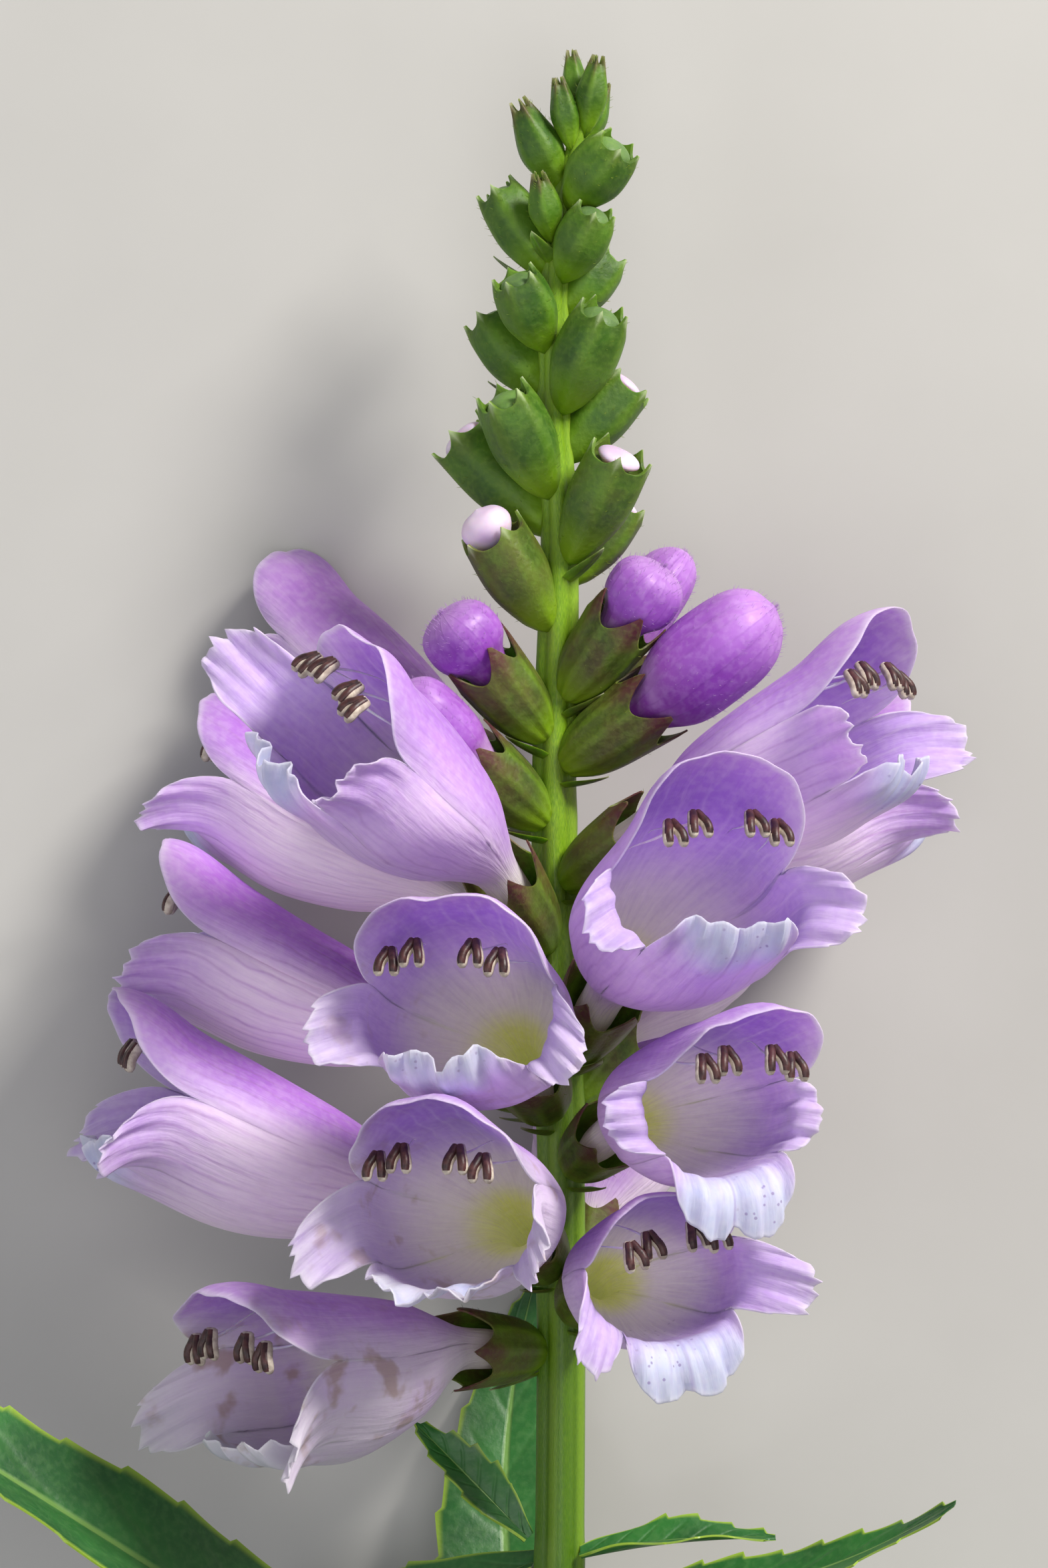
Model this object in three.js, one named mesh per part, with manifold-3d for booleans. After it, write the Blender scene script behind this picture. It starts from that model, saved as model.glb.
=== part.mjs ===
// A cut stem of obedient plant in flower, lying on its back on a flat surface.
// Millimetres and degrees. +Y runs up the stem, +Z away from the surface, +X to the right seen from above.
// A place on the stem is its height on Y, and a direction round the stem is an azimuth:
// 0 points straight up from the surface, 90 to the right and -90 to the left.
import * as THREE from 'three';
import { mergeVertices } from 'three/addons/utils/BufferGeometryUtils.js';
import Module from 'manifold-3d';

const wasm = await Module();
wasm.setup();

// Driving dimensions of the stem
const CUT_END = -76;
const STEM_TIP = 111;
const STEM_ROWS = 17;
const STEM_SWAY = [
  [CUT_END, -3], [-30, -0.6], [0, 0], [32, 0.1], [57, -0.4], [77, 0], [90, -0.5], [100, 0],
  [106, 1.2], [STEM_TIP, 2.4],
];
const STEM_LIFT = [[CUT_END, 1.95], [-52, 4.2], [-25, 12], [0, 16], [25, 16.8], [111, 16.8]];
const STEM_RADIUS = [
  [CUT_END, 1.95], [0, 1.85], [40, 1.75], [66, 1.6], [80, 1.35], [95, 1.1], [106, 0.8],
  [STEM_TIP, 0.5],
];
const FLAT_OF_SQUARE = 0.8;

// The surface lies at z = 0. What comes nearer to it than SOFT is eased towards it, and lies flat on it
// where it would dip below.
const SOFT = 1.6;

// The corolla, from its base inside the calyx: the heights of its back and belly and its half width,
// along the tube
const TUBE = 22;
const BACK = [[0, 0.9], [2, 1.25], [5.6, 1.45], [8.5, 2.3], [12, 3.4], [17, 4.1], [TUBE, 4.5]];
const BELLY = [[0, -0.9], [2, -1.25], [5.6, -1.5], [8.5, -3.1], [12, -5.4], [17, -7.1], [TUBE, -7.2]];
const HALF_WIDTH = [[0, 0.9], [2, 1.25], [5.6, 1.45], [8.5, 3], [12, 5.1], [17, 6.7], [TUBE, 6.8]];
const PETAL_THICKNESS = 0.62;
const COROLLA_COLUMNS = [18, 42, 66, 90, 114, 138, 162, 182, 203, 222, 242, 262, 278, 298, 318, 337, 358];
const COROLLA_ROWS = [0, 0.2, 0.42, 0.66, 0.84, 1];

// The four lobes round the mouth. Angles go round the mouth from its right side over the hood at 90.
// A lean list says how far a lobe leans outward from the flower's axis along its length.
// parallel is how much of a lobe points the same way, and shape how square its end is.
const HOOD = { from: 18, to: 162, parallel: 0.2, heading: 90, shape: 2.2 };
const RIGHT_LOBE = { from: -42, to: 18, parallel: 0.85, shape: 3.4 };
const LEFT_LOBE = { from: 162, to: 222, parallel: 0.85, shape: 3.4 };
const LIP = { from: 222, to: 318, heading: 270, length: 6.2, parallel: 0.7, shape: 3.6 };
const HOOD_LENGTH = 8.6;
const HOOD_LEAN = [[0.35, 15], [0.7, 3], [1, -24]];
const HOOD_EDGE_LEAN = [[0.5, 0], [1, -10]];
const LIP_UP = [[0.4, -8], [1, -66]];
const LIP_DOWN = [[0.35, 62], [0.65, 98], [1, 108]];
const LOBE_STEPS = 8;
const NOD_LENGTH = 24;

// Stamens under the hood: the angle of each round the mouth, and how far along and below the petal it runs
const STAMENS = [44, 62, 118, 138];
const ANTHER_REACH = 26.5;
const ANTHER_DEPTH = 1.7;
const FILAMENT_RADIUS = 0.36;
const ANTHER_HALF_WIDTH = 0.85;
const ANTHER_DROP = 1.4;

// The calyx, from its seat on the stem, for a flower of size 1
const CALYX_ROOT = 0.8;
const CALYX_FLOOR = 1.2;
const CALYX_RADIUS = [[0, 1], [1.4, 1.85], [3, 2.35], [5.5, 2.7], [8, 2.95]];
const CALYX_LENGTH = 6.6;
const CALYX_TOOTH = 1.5;
const CALYX_THICKNESS = 0.6;
const CALYX_COLUMNS = 10;
const CALYX_ROWS = [0, 0.42, 1];
const COROLLA_SEAT = 2.6;

// Closed buds, and the neck of a purple one, which stands in its calyx
const NECK = [[0, 0.9], [2.6, 1.5], [4.5, 1.95]];
const BUD_COLUMNS = 8;
const BUD_ROWS = [0.12, 0.5, 1];
const BUD_OUTLINE = [[0, 0.35], [0.12, 0.6], [0.5, 1], [1, 0.78]];
const CROWN_OPEN = 1;

const PETAL_COLOUR = 0xb493d6;
const BUD_COLOUR = 0xa763cf;
const DOME_COLOUR = 0xd8c3dc;
const STEM_COLOUR = 0x7ea81e;
const LEAF_COLOUR = 0x3f7a2c;

const rad = (degrees) => degrees * Math.PI / 180;
const mix = (a, b, share) => a + (b - a) * share;
const vec = (x, y, z) => new THREE.Vector3(x, y, z);

// Smooth curve through a list of [position, value], held level past its ends.
function along(list, at) {
  const last = list.length - 1;
  if (at <= list[0][0]) return list[0][1];
  if (at >= list[last][0]) return list[last][1];
  let i = 0;
  while (at > list[i + 1][0]) i++;
  const slope = (a, b) => (list[b][1] - list[a][1]) / (list[b][0] - list[a][0]);
  const span = list[i + 1][0] - list[i][0];
  const t = (at - list[i][0]) / span;
  const leaving = slope(Math.max(i - 1, 0), i + 1) * span;
  const arriving = slope(i, Math.min(i + 2, last)) * span;
  return list[i][1] * (2 * t ** 3 - 3 * t ** 2 + 1) + leaving * (t ** 3 - 2 * t ** 2 + t)
    + list[i + 1][1] * (3 * t ** 2 - 2 * t ** 3) + arriving * (t ** 3 - t ** 2);
}

// Eases a point that would come close to the surface, or below it, on to it at a clearance.
function settled(point, clearance) {
  const height = point.z - clearance;
  if (height < SOFT) point.z = clearance + Math.max(height + SOFT, 0) ** 2 / (4 * SOFT);
  return point;
}

const stemCentre = (height) => vec(along(STEM_SWAY, height), height, along(STEM_LIFT, height));
const stemRadius = (height) => along(STEM_RADIUS, height);

// A frame on the stem for a flower, bud or leaf: its seat and its outward, sideways and upward directions.
function stance({ height, rank, azimuth, elevation, roll = 0, nod = 0 }) {
  const a = rad(azimuth);
  const e = rad(elevation);
  const out = vec(Math.cos(e) * Math.sin(a), Math.sin(e), Math.cos(e) * Math.cos(a));
  const up = vec(-Math.sin(e) * Math.sin(a), Math.cos(e), -Math.sin(e) * Math.cos(a));
  up.applyAxisAngle(out, rad(roll));
  const fromCorner = Math.abs(((rank % 90) + 90) % 90 - 45) / 45;
  const radius = stemRadius(height) * mix(FLAT_OF_SQUARE, 1, fromCorner);
  const seat = stemCentre(height).add(vec(Math.sin(rad(rank)) * radius, 0, Math.cos(rad(rank)) * radius));
  return { seat, out, up, side: up.clone().cross(out), nod };
}

const placed = ({ seat, out, side, up }, x, y, z) =>
  seat.clone().addScaledVector(out, x).addScaledVector(side, y).addScaledVector(up, z);

// The same on an axis that nods by frame.nod degrees over its first NOD_LENGTH, and then runs straight.
function nodding(frame, x, y, z) {
  const whole = rad(frame.nod ?? 0);
  if (!whole) return placed(frame, x, y, z);
  const bent = Math.min(Math.max(x, 0), NOD_LENGTH);
  const turn = whole * bent / NOD_LENGTH;
  const reach = NOD_LENGTH / whole;
  const rest = x - bent;
  return placed(frame,
    reach * Math.sin(turn) + rest * Math.cos(turn) + z * Math.sin(turn),
    y,
    -reach * (1 - Math.cos(turn)) - rest * Math.sin(turn) + z * Math.cos(turn));
}

// Geometry from a list of points and a list of triangles.
function geometryOf(points, triangles) {
  const position = new Float32Array(points.flatMap((p) => [p.x, p.y, p.z]));
  const geometry = new THREE.BufferGeometry();
  geometry.setAttribute('position', new THREE.BufferAttribute(position, 3));
  geometry.setIndex(triangles);
  geometry.computeVertexNormals();
  return geometry;
}

// Joins ring a to ring b, both closed, and a ring to a single end point.
function bandBetween(a, b, count) {
  const triangles = [];
  for (let i = 0; i < count; i++) {
    const j = (i + 1) % count;
    triangles.push(a + i, a + j, b + j, a + i, b + j, b + i);
  }
  return triangles;
}
function fanTo(point, ring, count, facingOut) {
  const triangles = [];
  for (let i = 0; i < count; i++) {
    const j = (i + 1) % count;
    triangles.push(point, ...(facingOut ? [ring + j, ring + i] : [ring + i, ring + j]));
  }
  return triangles;
}

// The outward normal of a surface round(angle, share) by small steps.
function normalAt(surface, angle, share) {
  const step = 0.004;
  const low = Math.max(share - step, 0);
  const high = Math.min(share + step, 1);
  const around = surface(angle + 1, share).sub(surface(angle - 1, share));
  const outward = surface(angle, high).sub(surface(angle, low));
  return around.cross(outward).normalize();
}

// A thin-walled cup: surface(angle, share) is the middle of its wall, from the base at 0 to the rim at 1.
function cup(surface, angles, shares, thickness, baseOut, baseIn) {
  const points = [];
  for (const offset of [thickness / 2, -thickness / 2])
    for (const share of shares)
      for (const angle of angles)
        points.push(surface(angle, share).addScaledVector(normalAt(surface, angle, share), offset));
  const count = angles.length;
  const inner = count * shares.length;
  const triangles = [];
  for (let row = 0; row < shares.length - 1; row++) {
    triangles.push(...bandBetween(row * count, (row + 1) * count, count));
    const flipped = bandBetween(inner + row * count, inner + (row + 1) * count, count);
    for (let i = 0; i < flipped.length; i += 3) triangles.push(flipped[i], flipped[i + 2], flipped[i + 1]);
  }
  triangles.push(...bandBetween(inner - count, 2 * inner - count, count));
  triangles.push(...fanTo(points.push(baseOut) - 1, 0, count, true));
  triangles.push(...fanTo(points.push(baseIn) - 1, inner, count, false));
  return geometryOf(points, triangles);
}

// A solid through rings of points, closed by a point at each end.
function lump(start, rings, end) {
  const count = rings[0].length;
  const points = rings.flat();
  const triangles = [];
  rings.slice(1).forEach((_, row) => triangles.push(...bandBetween(row * count, (row + 1) * count, count)));
  triangles.push(...fanTo(points.push(start) - 1, 0, count, true));
  triangles.push(...fanTo(points.push(end) - 1, (rings.length - 1) * count, count, false));
  return geometryOf(points, triangles);
}

// A closed geometry as a solid that can be joined, and back again.
function solidOf(geometry) {
  const bare = geometry.clone();
  bare.deleteAttribute('normal');
  const merged = mergeVertices(bare, 1e-4);
  return new wasm.Manifold(new wasm.Mesh({
    numProp: 3,
    vertProperties: merged.attributes.position.array,
    triVerts: new Uint32Array(merged.index.array),
  }));
}
// Roots that meet can seal in a tiny hollow, which counts as a body of its own. Only the largest is kept.
function joined(geometries) {
  const whole = geometries.map(solidOf).reduce((sum, next) => sum.add(next));
  const body = whole.decompose().reduce((a, b) => (a.volume() > b.volume() ? a : b));
  const mesh = body.getMesh();
  const geometry = new THREE.BufferGeometry();
  geometry.setAttribute('position', new THREE.BufferAttribute(mesh.vertProperties, 3));
  geometry.setIndex(new THREE.BufferAttribute(mesh.triVerts, 1));
  geometry.computeVertexNormals();
  return geometry;
}

// Corolla

const LOBES = [HOOD, LEFT_LOBE, LIP, RIGHT_LOBE];

// Which lobe an angle round the mouth lies in, and how far across it, from -1 to 1.
function lobeAt(angle) {
  const turned = ((angle + 42) % 360 + 360) % 360 - 42;
  const lobe = LOBES.find((l) => turned >= l.from && turned <= l.to) ?? LIP;
  return { lobe, across: (2 * turned - lobe.from - lobe.to) / (lobe.to - lobe.from) };
}

function tubePoint(angle, x) {
  const top = along(BACK, x);
  const bottom = along(BELLY, x);
  const turn = rad(angle);
  const middle = (top + bottom) / 2;
  return vec(x, along(HALF_WIDTH, x) * Math.cos(turn), middle + (top - middle) * Math.sin(turn));
}

function lobeLength(flower, lobe) {
  if (lobe === LEFT_LOBE) return flower.left[2];
  if (lobe === RIGHT_LOBE) return flower.right[2];
  return lobe === HOOD ? flower.hood ?? HOOD_LENGTH : lobe.length;
}
function rimReach(flower, angle) {
  const { lobe, across } = lobeAt(angle);
  return TUBE + lobeLength(flower, lobe) * Math.sqrt(Math.max(1 - Math.abs(across) ** lobe.shape, 0));
}

// How far a lobe leans outward from the axis at a share of its length, and towards which side of the mouth.
function leanAt(flower, lobe, across, share, start) {
  const leanOf = (list) => along([[0, start], ...list], share);
  if (lobe === HOOD) return mix(leanOf(HOOD_LEAN), leanOf(HOOD_EDGE_LEAN), across ** 2);
  if (lobe === LIP) return mix(leanOf(LIP_UP), leanOf(LIP_DOWN), flower.lip);
  const [, lean] = lobe === LEFT_LOBE ? flower.left : flower.right;
  return leanOf([[0.4, lean * 0.55], [1, lean]]);
}
function headingOf(flower, lobe) {
  if (lobe === LEFT_LOBE) return flower.left[0];
  return lobe === RIGHT_LOBE ? flower.right[0] : lobe.heading;
}

// The middle of the corolla's wall in the flower's own frame: x outward, y sideways, z to the hood.
function corollaPoint(flower, angle, reach) {
  if (reach <= TUBE) return tubePoint(angle, reach);
  const { lobe, across } = lobeAt(angle);
  const point = tubePoint(angle, TUBE);
  const before = tubePoint(angle, TUBE - 0.5);
  const width = along(HALF_WIDTH, TUBE);
  const height = (along(BACK, TUBE) - along(BELLY, TUBE)) / 2;
  const own = vec(0, Math.cos(rad(angle)) / width, Math.sin(rad(angle)) / height).normalize();
  const turned = rad(headingOf(flower, lobe));
  const outward = own.clone().lerp(vec(0, Math.cos(turned), Math.sin(turned)), lobe.parallel).normalize();
  const start = Math.atan2(point.clone().sub(before).dot(own), 0.5) * 180 / Math.PI;
  const step = (reach - TUBE) / LOBE_STEPS;
  for (let i = 0; i < LOBE_STEPS; i++) {
    const lean = rad(leanAt(flower, lobe, across, (i + 0.5) * step / lobeLength(flower, lobe), start));
    point.x += step * Math.cos(lean);
    point.addScaledVector(outward, step * Math.sin(lean));
  }
  return point;
}

// The same in place on the stem, settled on the surface.
function petalPoint(flower, angle, reach, inward = 0) {
  const p = corollaPoint(flower, angle, reach);
  if (inward) {
    const around = corollaPoint(flower, angle + 1, reach).sub(corollaPoint(flower, angle - 1, reach));
    const outward = corollaPoint(flower, angle, reach + 0.1).sub(corollaPoint(flower, angle, reach - 0.1));
    p.addScaledVector(around.cross(outward).normalize(), -inward);
  }
  p.x += Math.min(p.x, TUBE) * (flower.stretch - 1);
  p.multiplyScalar(flower.size);
  return settled(nodding(flower.frame, p.x + COROLLA_SEAT, p.y, p.z), PETAL_THICKNESS / 2);
}

// The end of a stamen: its filament out of the hood, and the two halves of its anther hanging from it.
function stamen(flower, angle) {
  const { out, side, up } = flower.frame;
  const root = petalPoint(flower, angle, TUBE - 1.5, 0);
  const top = petalPoint(flower, angle, ANTHER_REACH, ANTHER_DEPTH);
  const foot = top.clone().addScaledVector(up, -ANTHER_DROP).addScaledVector(out, 0.3);
  const near = (point, across, over, ahead) =>
    point.clone().addScaledVector(side, across).addScaledVector(up, over).addScaledVector(out, ahead);
  const thin = FILAMENT_RADIUS;
  const wide = ANTHER_HALF_WIDTH;
  return lump(root, [
    [near(root, thin, -thin / 2, 0), near(root, 0, thin, 0), near(root, -thin, -thin / 2, 0)],
    [near(top, thin, -0.2, 0), near(top, 0, thin, 0.35), near(top, -thin, -0.2, 0)],
    [near(foot, wide, 0, -0.2), near(foot, 0, 0.25, 0.45), near(foot, -wide, 0, -0.2)],
  ], near(foot, 0, ANTHER_DROP * 0.55, 0));
}

function corolla(flower) {
  const surface = (angle, share) => petalPoint(flower, angle, share * rimReach(flower, angle));
  const out = nodding(flower.frame, COROLLA_SEAT - 0.3, 0, 0);
  const inn = nodding(flower.frame, COROLLA_SEAT + 0.3, 0, 0);
  const shell = cup(surface, COROLLA_COLUMNS, COROLLA_ROWS, PETAL_THICKNESS, out, inn);
  const stamens = flower.stamens ?? STAMENS;
  return stamens.length ? joined([shell, ...stamens.map((angle) => stamen(flower, angle))]) : shell;
}

// Calyx and bract

// A cup with five teeth, rooted in the stem.
function calyx(flower) {
  const { frame, calyxSize } = flower;
  const surface = (angle, share) => {
    const tooth = Math.cos(rad(angle * 5)) * 0.5 + 0.5;
    const x = share * (CALYX_LENGTH + tooth * CALYX_TOOTH * share ** 3);
    const wide = along(CALYX_RADIUS, x) * calyxSize;
    const p = nodding(frame, x * calyxSize, wide * Math.cos(rad(angle)), wide * Math.sin(rad(angle)));
    return settled(p, CALYX_THICKNESS / 2);
  };
  const angles = Array.from({ length: CALYX_COLUMNS }, (_, i) => i * 360 / CALYX_COLUMNS + 18);
  const root = placed(frame, -CALYX_ROOT, 0, 0);
  return cup(surface, angles, CALYX_ROWS, CALYX_THICKNESS, root, placed(frame, CALYX_FLOOR, 0, 0));
}

// A small pointed bract below a calyx, rooted in the stem.
function bract({ height, rank, azimuth, elevation }, length) {
  const turned = mix(rank, azimuth, 0.5);
  const frame = stance({ height: height - 1.6, rank, azimuth: turned, elevation: elevation - 24 });
  const ring = (x, wide, thick, droop) => [0, 120, 240].map((a) =>
    settled(placed(frame, x, wide * Math.cos(rad(a + 30)), thick * Math.sin(rad(a + 30)) + droop), 0.1));
  return lump(placed(frame, -0.9, 0, 0),
    [ring(-0.6, 0.7, 0.5, 0), ring(length * 0.45, 0.95, 0.32, -0.3)],
    settled(placed(frame, length, 0, 0.2), 0.1));
}

// Buds

// A closed green bud with a crown of five teeth, rooted in the stem.
function greenBud({ length, width, dome, ...place }) {
  const frame = stance(place);
  const ring = (share) => Array.from({ length: BUD_COLUMNS }, (_, i) => {
    const tooth = i % 2 ? 0 : 1;
    const x = share * length * (share === 1 ? mix(0.86, 1, tooth) : 1);
    const radius = (share === 1 && dome ? CROWN_OPEN : along(BUD_OUTLINE, share)) * width / 2;
    const a = 2 * Math.PI * i / BUD_COLUMNS;
    return settled(placed(frame, x, radius * Math.cos(a), radius * Math.sin(a)), 0.1);
  });
  return lump(placed(frame, -0.8, 0, 0), BUD_ROWS.map(ring), placed(frame, length * 0.7, 0, 0));
}

// The pale corolla that shows between the teeth of an older bud.
function budDome({ length, width, dome, ...place }) {
  const frame = stance(place);
  const ring = (x, radius) => Array.from({ length: 7 }, (_, i) => {
    const a = 2 * Math.PI * i / 7;
    return placed(frame, x, radius * Math.cos(a), radius * Math.sin(a));
  });
  const rim = length * 0.86;
  const radius = width * (0.3 + 0.03 * dome);
  return lump(placed(frame, length * 0.7 + 0.7, 0, 0),
    [ring(rim + 0.35, width * 0.26), ring(rim + dome * 0.5, radius), ring(rim + dome * 0.85, radius * 0.7)],
    placed(frame, rim + dome, 0, 0));
}

// A purple bud, still closed, standing out of its own calyx. Its neck is inside the calyx.
function purpleBud(flower) {
  const { frame, length, girth, lift } = flower;
  const collar = NECK[NECK.length - 1][0];
  const head = length - collar;
  const outline = [...NECK, [collar + head * 0.24, mix(2.1, girth, 0.78)], [collar + head * 0.5, girth],
    [collar + head * 0.8, girth * 0.88], [collar + head * 0.95, girth * 0.5]];
  const rings = outline.map(([x, radius]) => Array.from({ length: 9 }, (_, i) => {
    const a = 2 * Math.PI * i / 9;
    const over = radius * Math.sin(a) * 0.94 + lift * (x / length) ** 2;
    return settled(placed(frame, COROLLA_SEAT + x, radius * Math.cos(a), over), 0.2);
  }));
  const tip = placed(frame, COROLLA_SEAT + length, 0, lift * 0.9);
  return lump(placed(frame, COROLLA_SEAT - 0.3, 0, 0), rings, tip);
}

// Stem

function stemBar() {
  const rings = Array.from({ length: STEM_ROWS }, (_, row) => {
    const height = mix(CUT_END, STEM_TIP, row / (STEM_ROWS - 1));
    const centre = stemCentre(height);
    const radius = stemRadius(height);
    return Array.from({ length: 8 }, (_, k) => {
      const a = rad(45 * k);
      const r = k % 2 ? radius * FLAT_OF_SQUARE : radius;
      return centre.clone().add(vec(r * Math.cos(a), 0, r * Math.sin(a)));
    });
  });
  rings.forEach((ring) => ring.reverse());
  return lump(stemCentre(CUT_END), rings, stemCentre(STEM_TIP));
}

// Leaves

// A lance-shaped leaf with a toothed edge, folded up a little along its rib.
// start is how far out its base stands, droop bends it down along its length, and sweep sideways.
function leaf({ start, length, width, teeth, droop, fold, sweep = 0, ...place }) {
  const frame = stance(place);
  const rows = teeth * 2 + 1;
  const points = [];
  const half = 0.32;
  const middle = (share, across) => {
    const x = start + share * length;
    const a = rad(fold);
    const bend = length * share * share;
    return settled(placed(frame, x - 0.1 * bend * Math.abs(droop),
      across * Math.cos(a) + sweep * bend,
      Math.abs(across) * Math.sin(a) - droop * bend), half);
  };
  const outline = [[0, 0.3], [0.12, 0.55], [0.4, 1], [0.7, 0.72], [0.9, 0.32], [1, 0.06]];
  for (const side of [1, -1])
    for (let row = 0; row < rows; row++) {
      const share = row / (rows - 1);
      const tooth = row % 2 && row > 3 ? 0.55 : 0;
      const w = along(outline, share) * width / 2;
      for (const across of [-1, 0, 1]) {
        const at = across * (w + (across ? tooth : 0));
        const p = middle(Math.min(share + (across && tooth ? 0.6 / length : 0), 1), at);
        const du = middle(share + 0.01, at).sub(middle(share - 0.01, at));
        const dv = middle(share, at + 0.05).sub(middle(share, at - 0.05));
        points.push(p.addScaledVector(du.cross(dv).normalize(), side * half));
      }
    }
  const under = rows * 3;
  const triangles = [];
  const quad = (a, b, c, d) => triangles.push(a, b, c, a, c, d);
  for (let row = 0; row < rows - 1; row++) {
    for (let c = 0; c < 2; c++) {
      const i = row * 3 + c;
      quad(i, i + 3, i + 4, i + 1);
      const j = under + i;
      triangles.push(j, j + 4, j + 3, j, j + 1, j + 4);
    }
    const left = row * 3;
    quad(left, under + left, under + left + 3, left + 3);
    quad(left + 2, left + 5, under + left + 5, under + left + 2);
  }
  for (let c = 0; c < 2; c++) {
    quad(c, c + 1, under + c + 1, under + c);
    const end = (rows - 1) * 3 + c;
    quad(end, under + end, under + end + 1, end + 1);
  }
  return geometryOf(points, triangles);
}

// Where everything grows. rank is the face of the square stem that a thing sits on.
const FRONT_LEFT = -45;
const FRONT_RIGHT = 45;
const BACK_LEFT = -135;
const BACK_RIGHT = 135;

// lip: 0 curls up, 1 hangs down. spread: how far the side lobes open.
const FLOWERS = {
  front_right_1: {
    height: 19.3, rank: FRONT_RIGHT, azimuth: 16, elevation: 24, nod: 20, roll: 12, size: 0.88,
    stretch: 0.88, lip: 1, left: [236, 85, 8], right: [-35, 85, 8], hood: 5.3,
  },
  front_right_2: {
    height: 30, rank: FRONT_RIGHT, azimuth: 26, elevation: 29, nod: 23, size: 0.93, stretch: 1.06,
    lip: 1, left: [180, 125, 5], right: [-10, 100, 2],
  },
  front_right_3: {
    height: 38.6, rank: FRONT_RIGHT, azimuth: 23, elevation: 40, nod: 17, size: 1.08, stretch: 1,
    lip: 0, left: [215, 100, 5], right: [-32, 72, 5.6],
  },
  front_right_4: {
    height: 51.4, rank: FRONT_RIGHT, azimuth: 60, elevation: 31, nod: 6, size: 1, stretch: 1,
    lip: 0, left: [200, 45, 7], right: [-30, 55, 7],
  },
  front_left_1: {
    height: 22.5, rank: FRONT_LEFT, azimuth: -17, elevation: 28, nod: 20, size: 1.02, stretch: 1,
    lip: 0.3, left: [236, 70, 7.6], right: [-65, 60, 7],
  },
  front_left_2: {
    height: 34.2, rank: FRONT_LEFT, azimuth: -15, elevation: 33, nod: 20, size: 1.05, stretch: 1,
    lip: 0, left: [215, 60, 6], right: [-50, 100, 5],
  },
  front_left_3: {
    height: 46.6, rank: FRONT_LEFT, azimuth: -34, elevation: 46, nod: 17, roll: -36, size: 1.08,
    stretch: 0.95, lip: 0, left: [175, 70, 9], right: [-35, 40, 6], hood: 5.8,
  },
  back_left_1: {
    height: 16.2, rank: -100, azimuth: -49, elevation: 6, nod: 8, size: 1.04, stretch: 0.94, lip: 0,
    left: [235, 45, 7.8], right: [-80, 60, 8], hood: 7.6,
  },
  back_left_2: {
    height: 23, rank: BACK_LEFT, azimuth: -80, elevation: 24, size: 1.03, stretch: 1.2, lip: 0,
    left: [246, 60, 7], right: [-65, 68, 7], stamens: [55, 76],
  },
  back_left_3: {
    height: 35, rank: BACK_LEFT, azimuth: -97, elevation: 26, size: 0.92, stretch: 1.2, lip: 0,
    left: [240, 60, 7], right: [-60, 50, 7], stamens: [55, 76],
  },
  back_left_4: {
    height: 46.2, rank: BACK_LEFT, azimuth: -113, elevation: 28, size: 0.88, stretch: 1.2, lip: 0,
    left: [240, 60, 9], right: [-60, 55, 7.6], stamens: [55, 76],
  },
  back_left_5: {
    height: 56.4, rank: BACK_LEFT, azimuth: -128, elevation: 32, size: 0.84, stretch: 1.2, lip: 0,
    left: [220, 60, 4], right: [-40, 80, 4], stamens: [55, 76],
  },
  back_right_1: {
    height: 21, rank: BACK_RIGHT, azimuth: 170, elevation: 36, size: 0.86, stretch: 1, lip: 0.3,
    left: [240, 50, 7], right: [-60, 50, 7], stamens: [],
  },
  back_right_2: {
    height: 35, rank: BACK_RIGHT, azimuth: 144, elevation: 40, size: 0.86, stretch: 1, lip: 0.3,
    left: [240, 50, 7], right: [-60, 50, 7], stamens: [],
  },
  back_right_3: {
    height: 48, rank: BACK_RIGHT, azimuth: 106, elevation: 25, size: 0.9, stretch: 1.06, lip: 0,
    left: [230, 45, 7], right: [-50, 45, 6], stamens: [],
  },
};

const PURPLE_BUDS = {
  front_left_4: {
    height: 56, rank: FRONT_LEFT, azimuth: -66, elevation: 38, calyxSize: 1, length: 12.5,
    girth: 2.9, lift: 0.4,
  },
  front_left_5: {
    height: 62.4, rank: FRONT_LEFT, azimuth: -68, elevation: 48, calyxSize: 1, length: 9.5,
    girth: 3.1, lift: 0,
  },
  front_right_5: {
    height: 60.2, rank: FRONT_RIGHT, azimuth: 78, elevation: 34, calyxSize: 1.05, length: 17,
    girth: 3.9, lift: 0.8,
  },
  front_right_6: {
    height: 65.4, rank: FRONT_RIGHT, azimuth: 68, elevation: 51, calyxSize: 1, length: 9.5,
    girth: 3, lift: 0,
  },
  back_right_4: {
    height: 63.6, rank: BACK_RIGHT, azimuth: 126, elevation: 49, calyxSize: 1, length: 14.2,
    girth: 2.5, lift: 0,
  },
};

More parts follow.
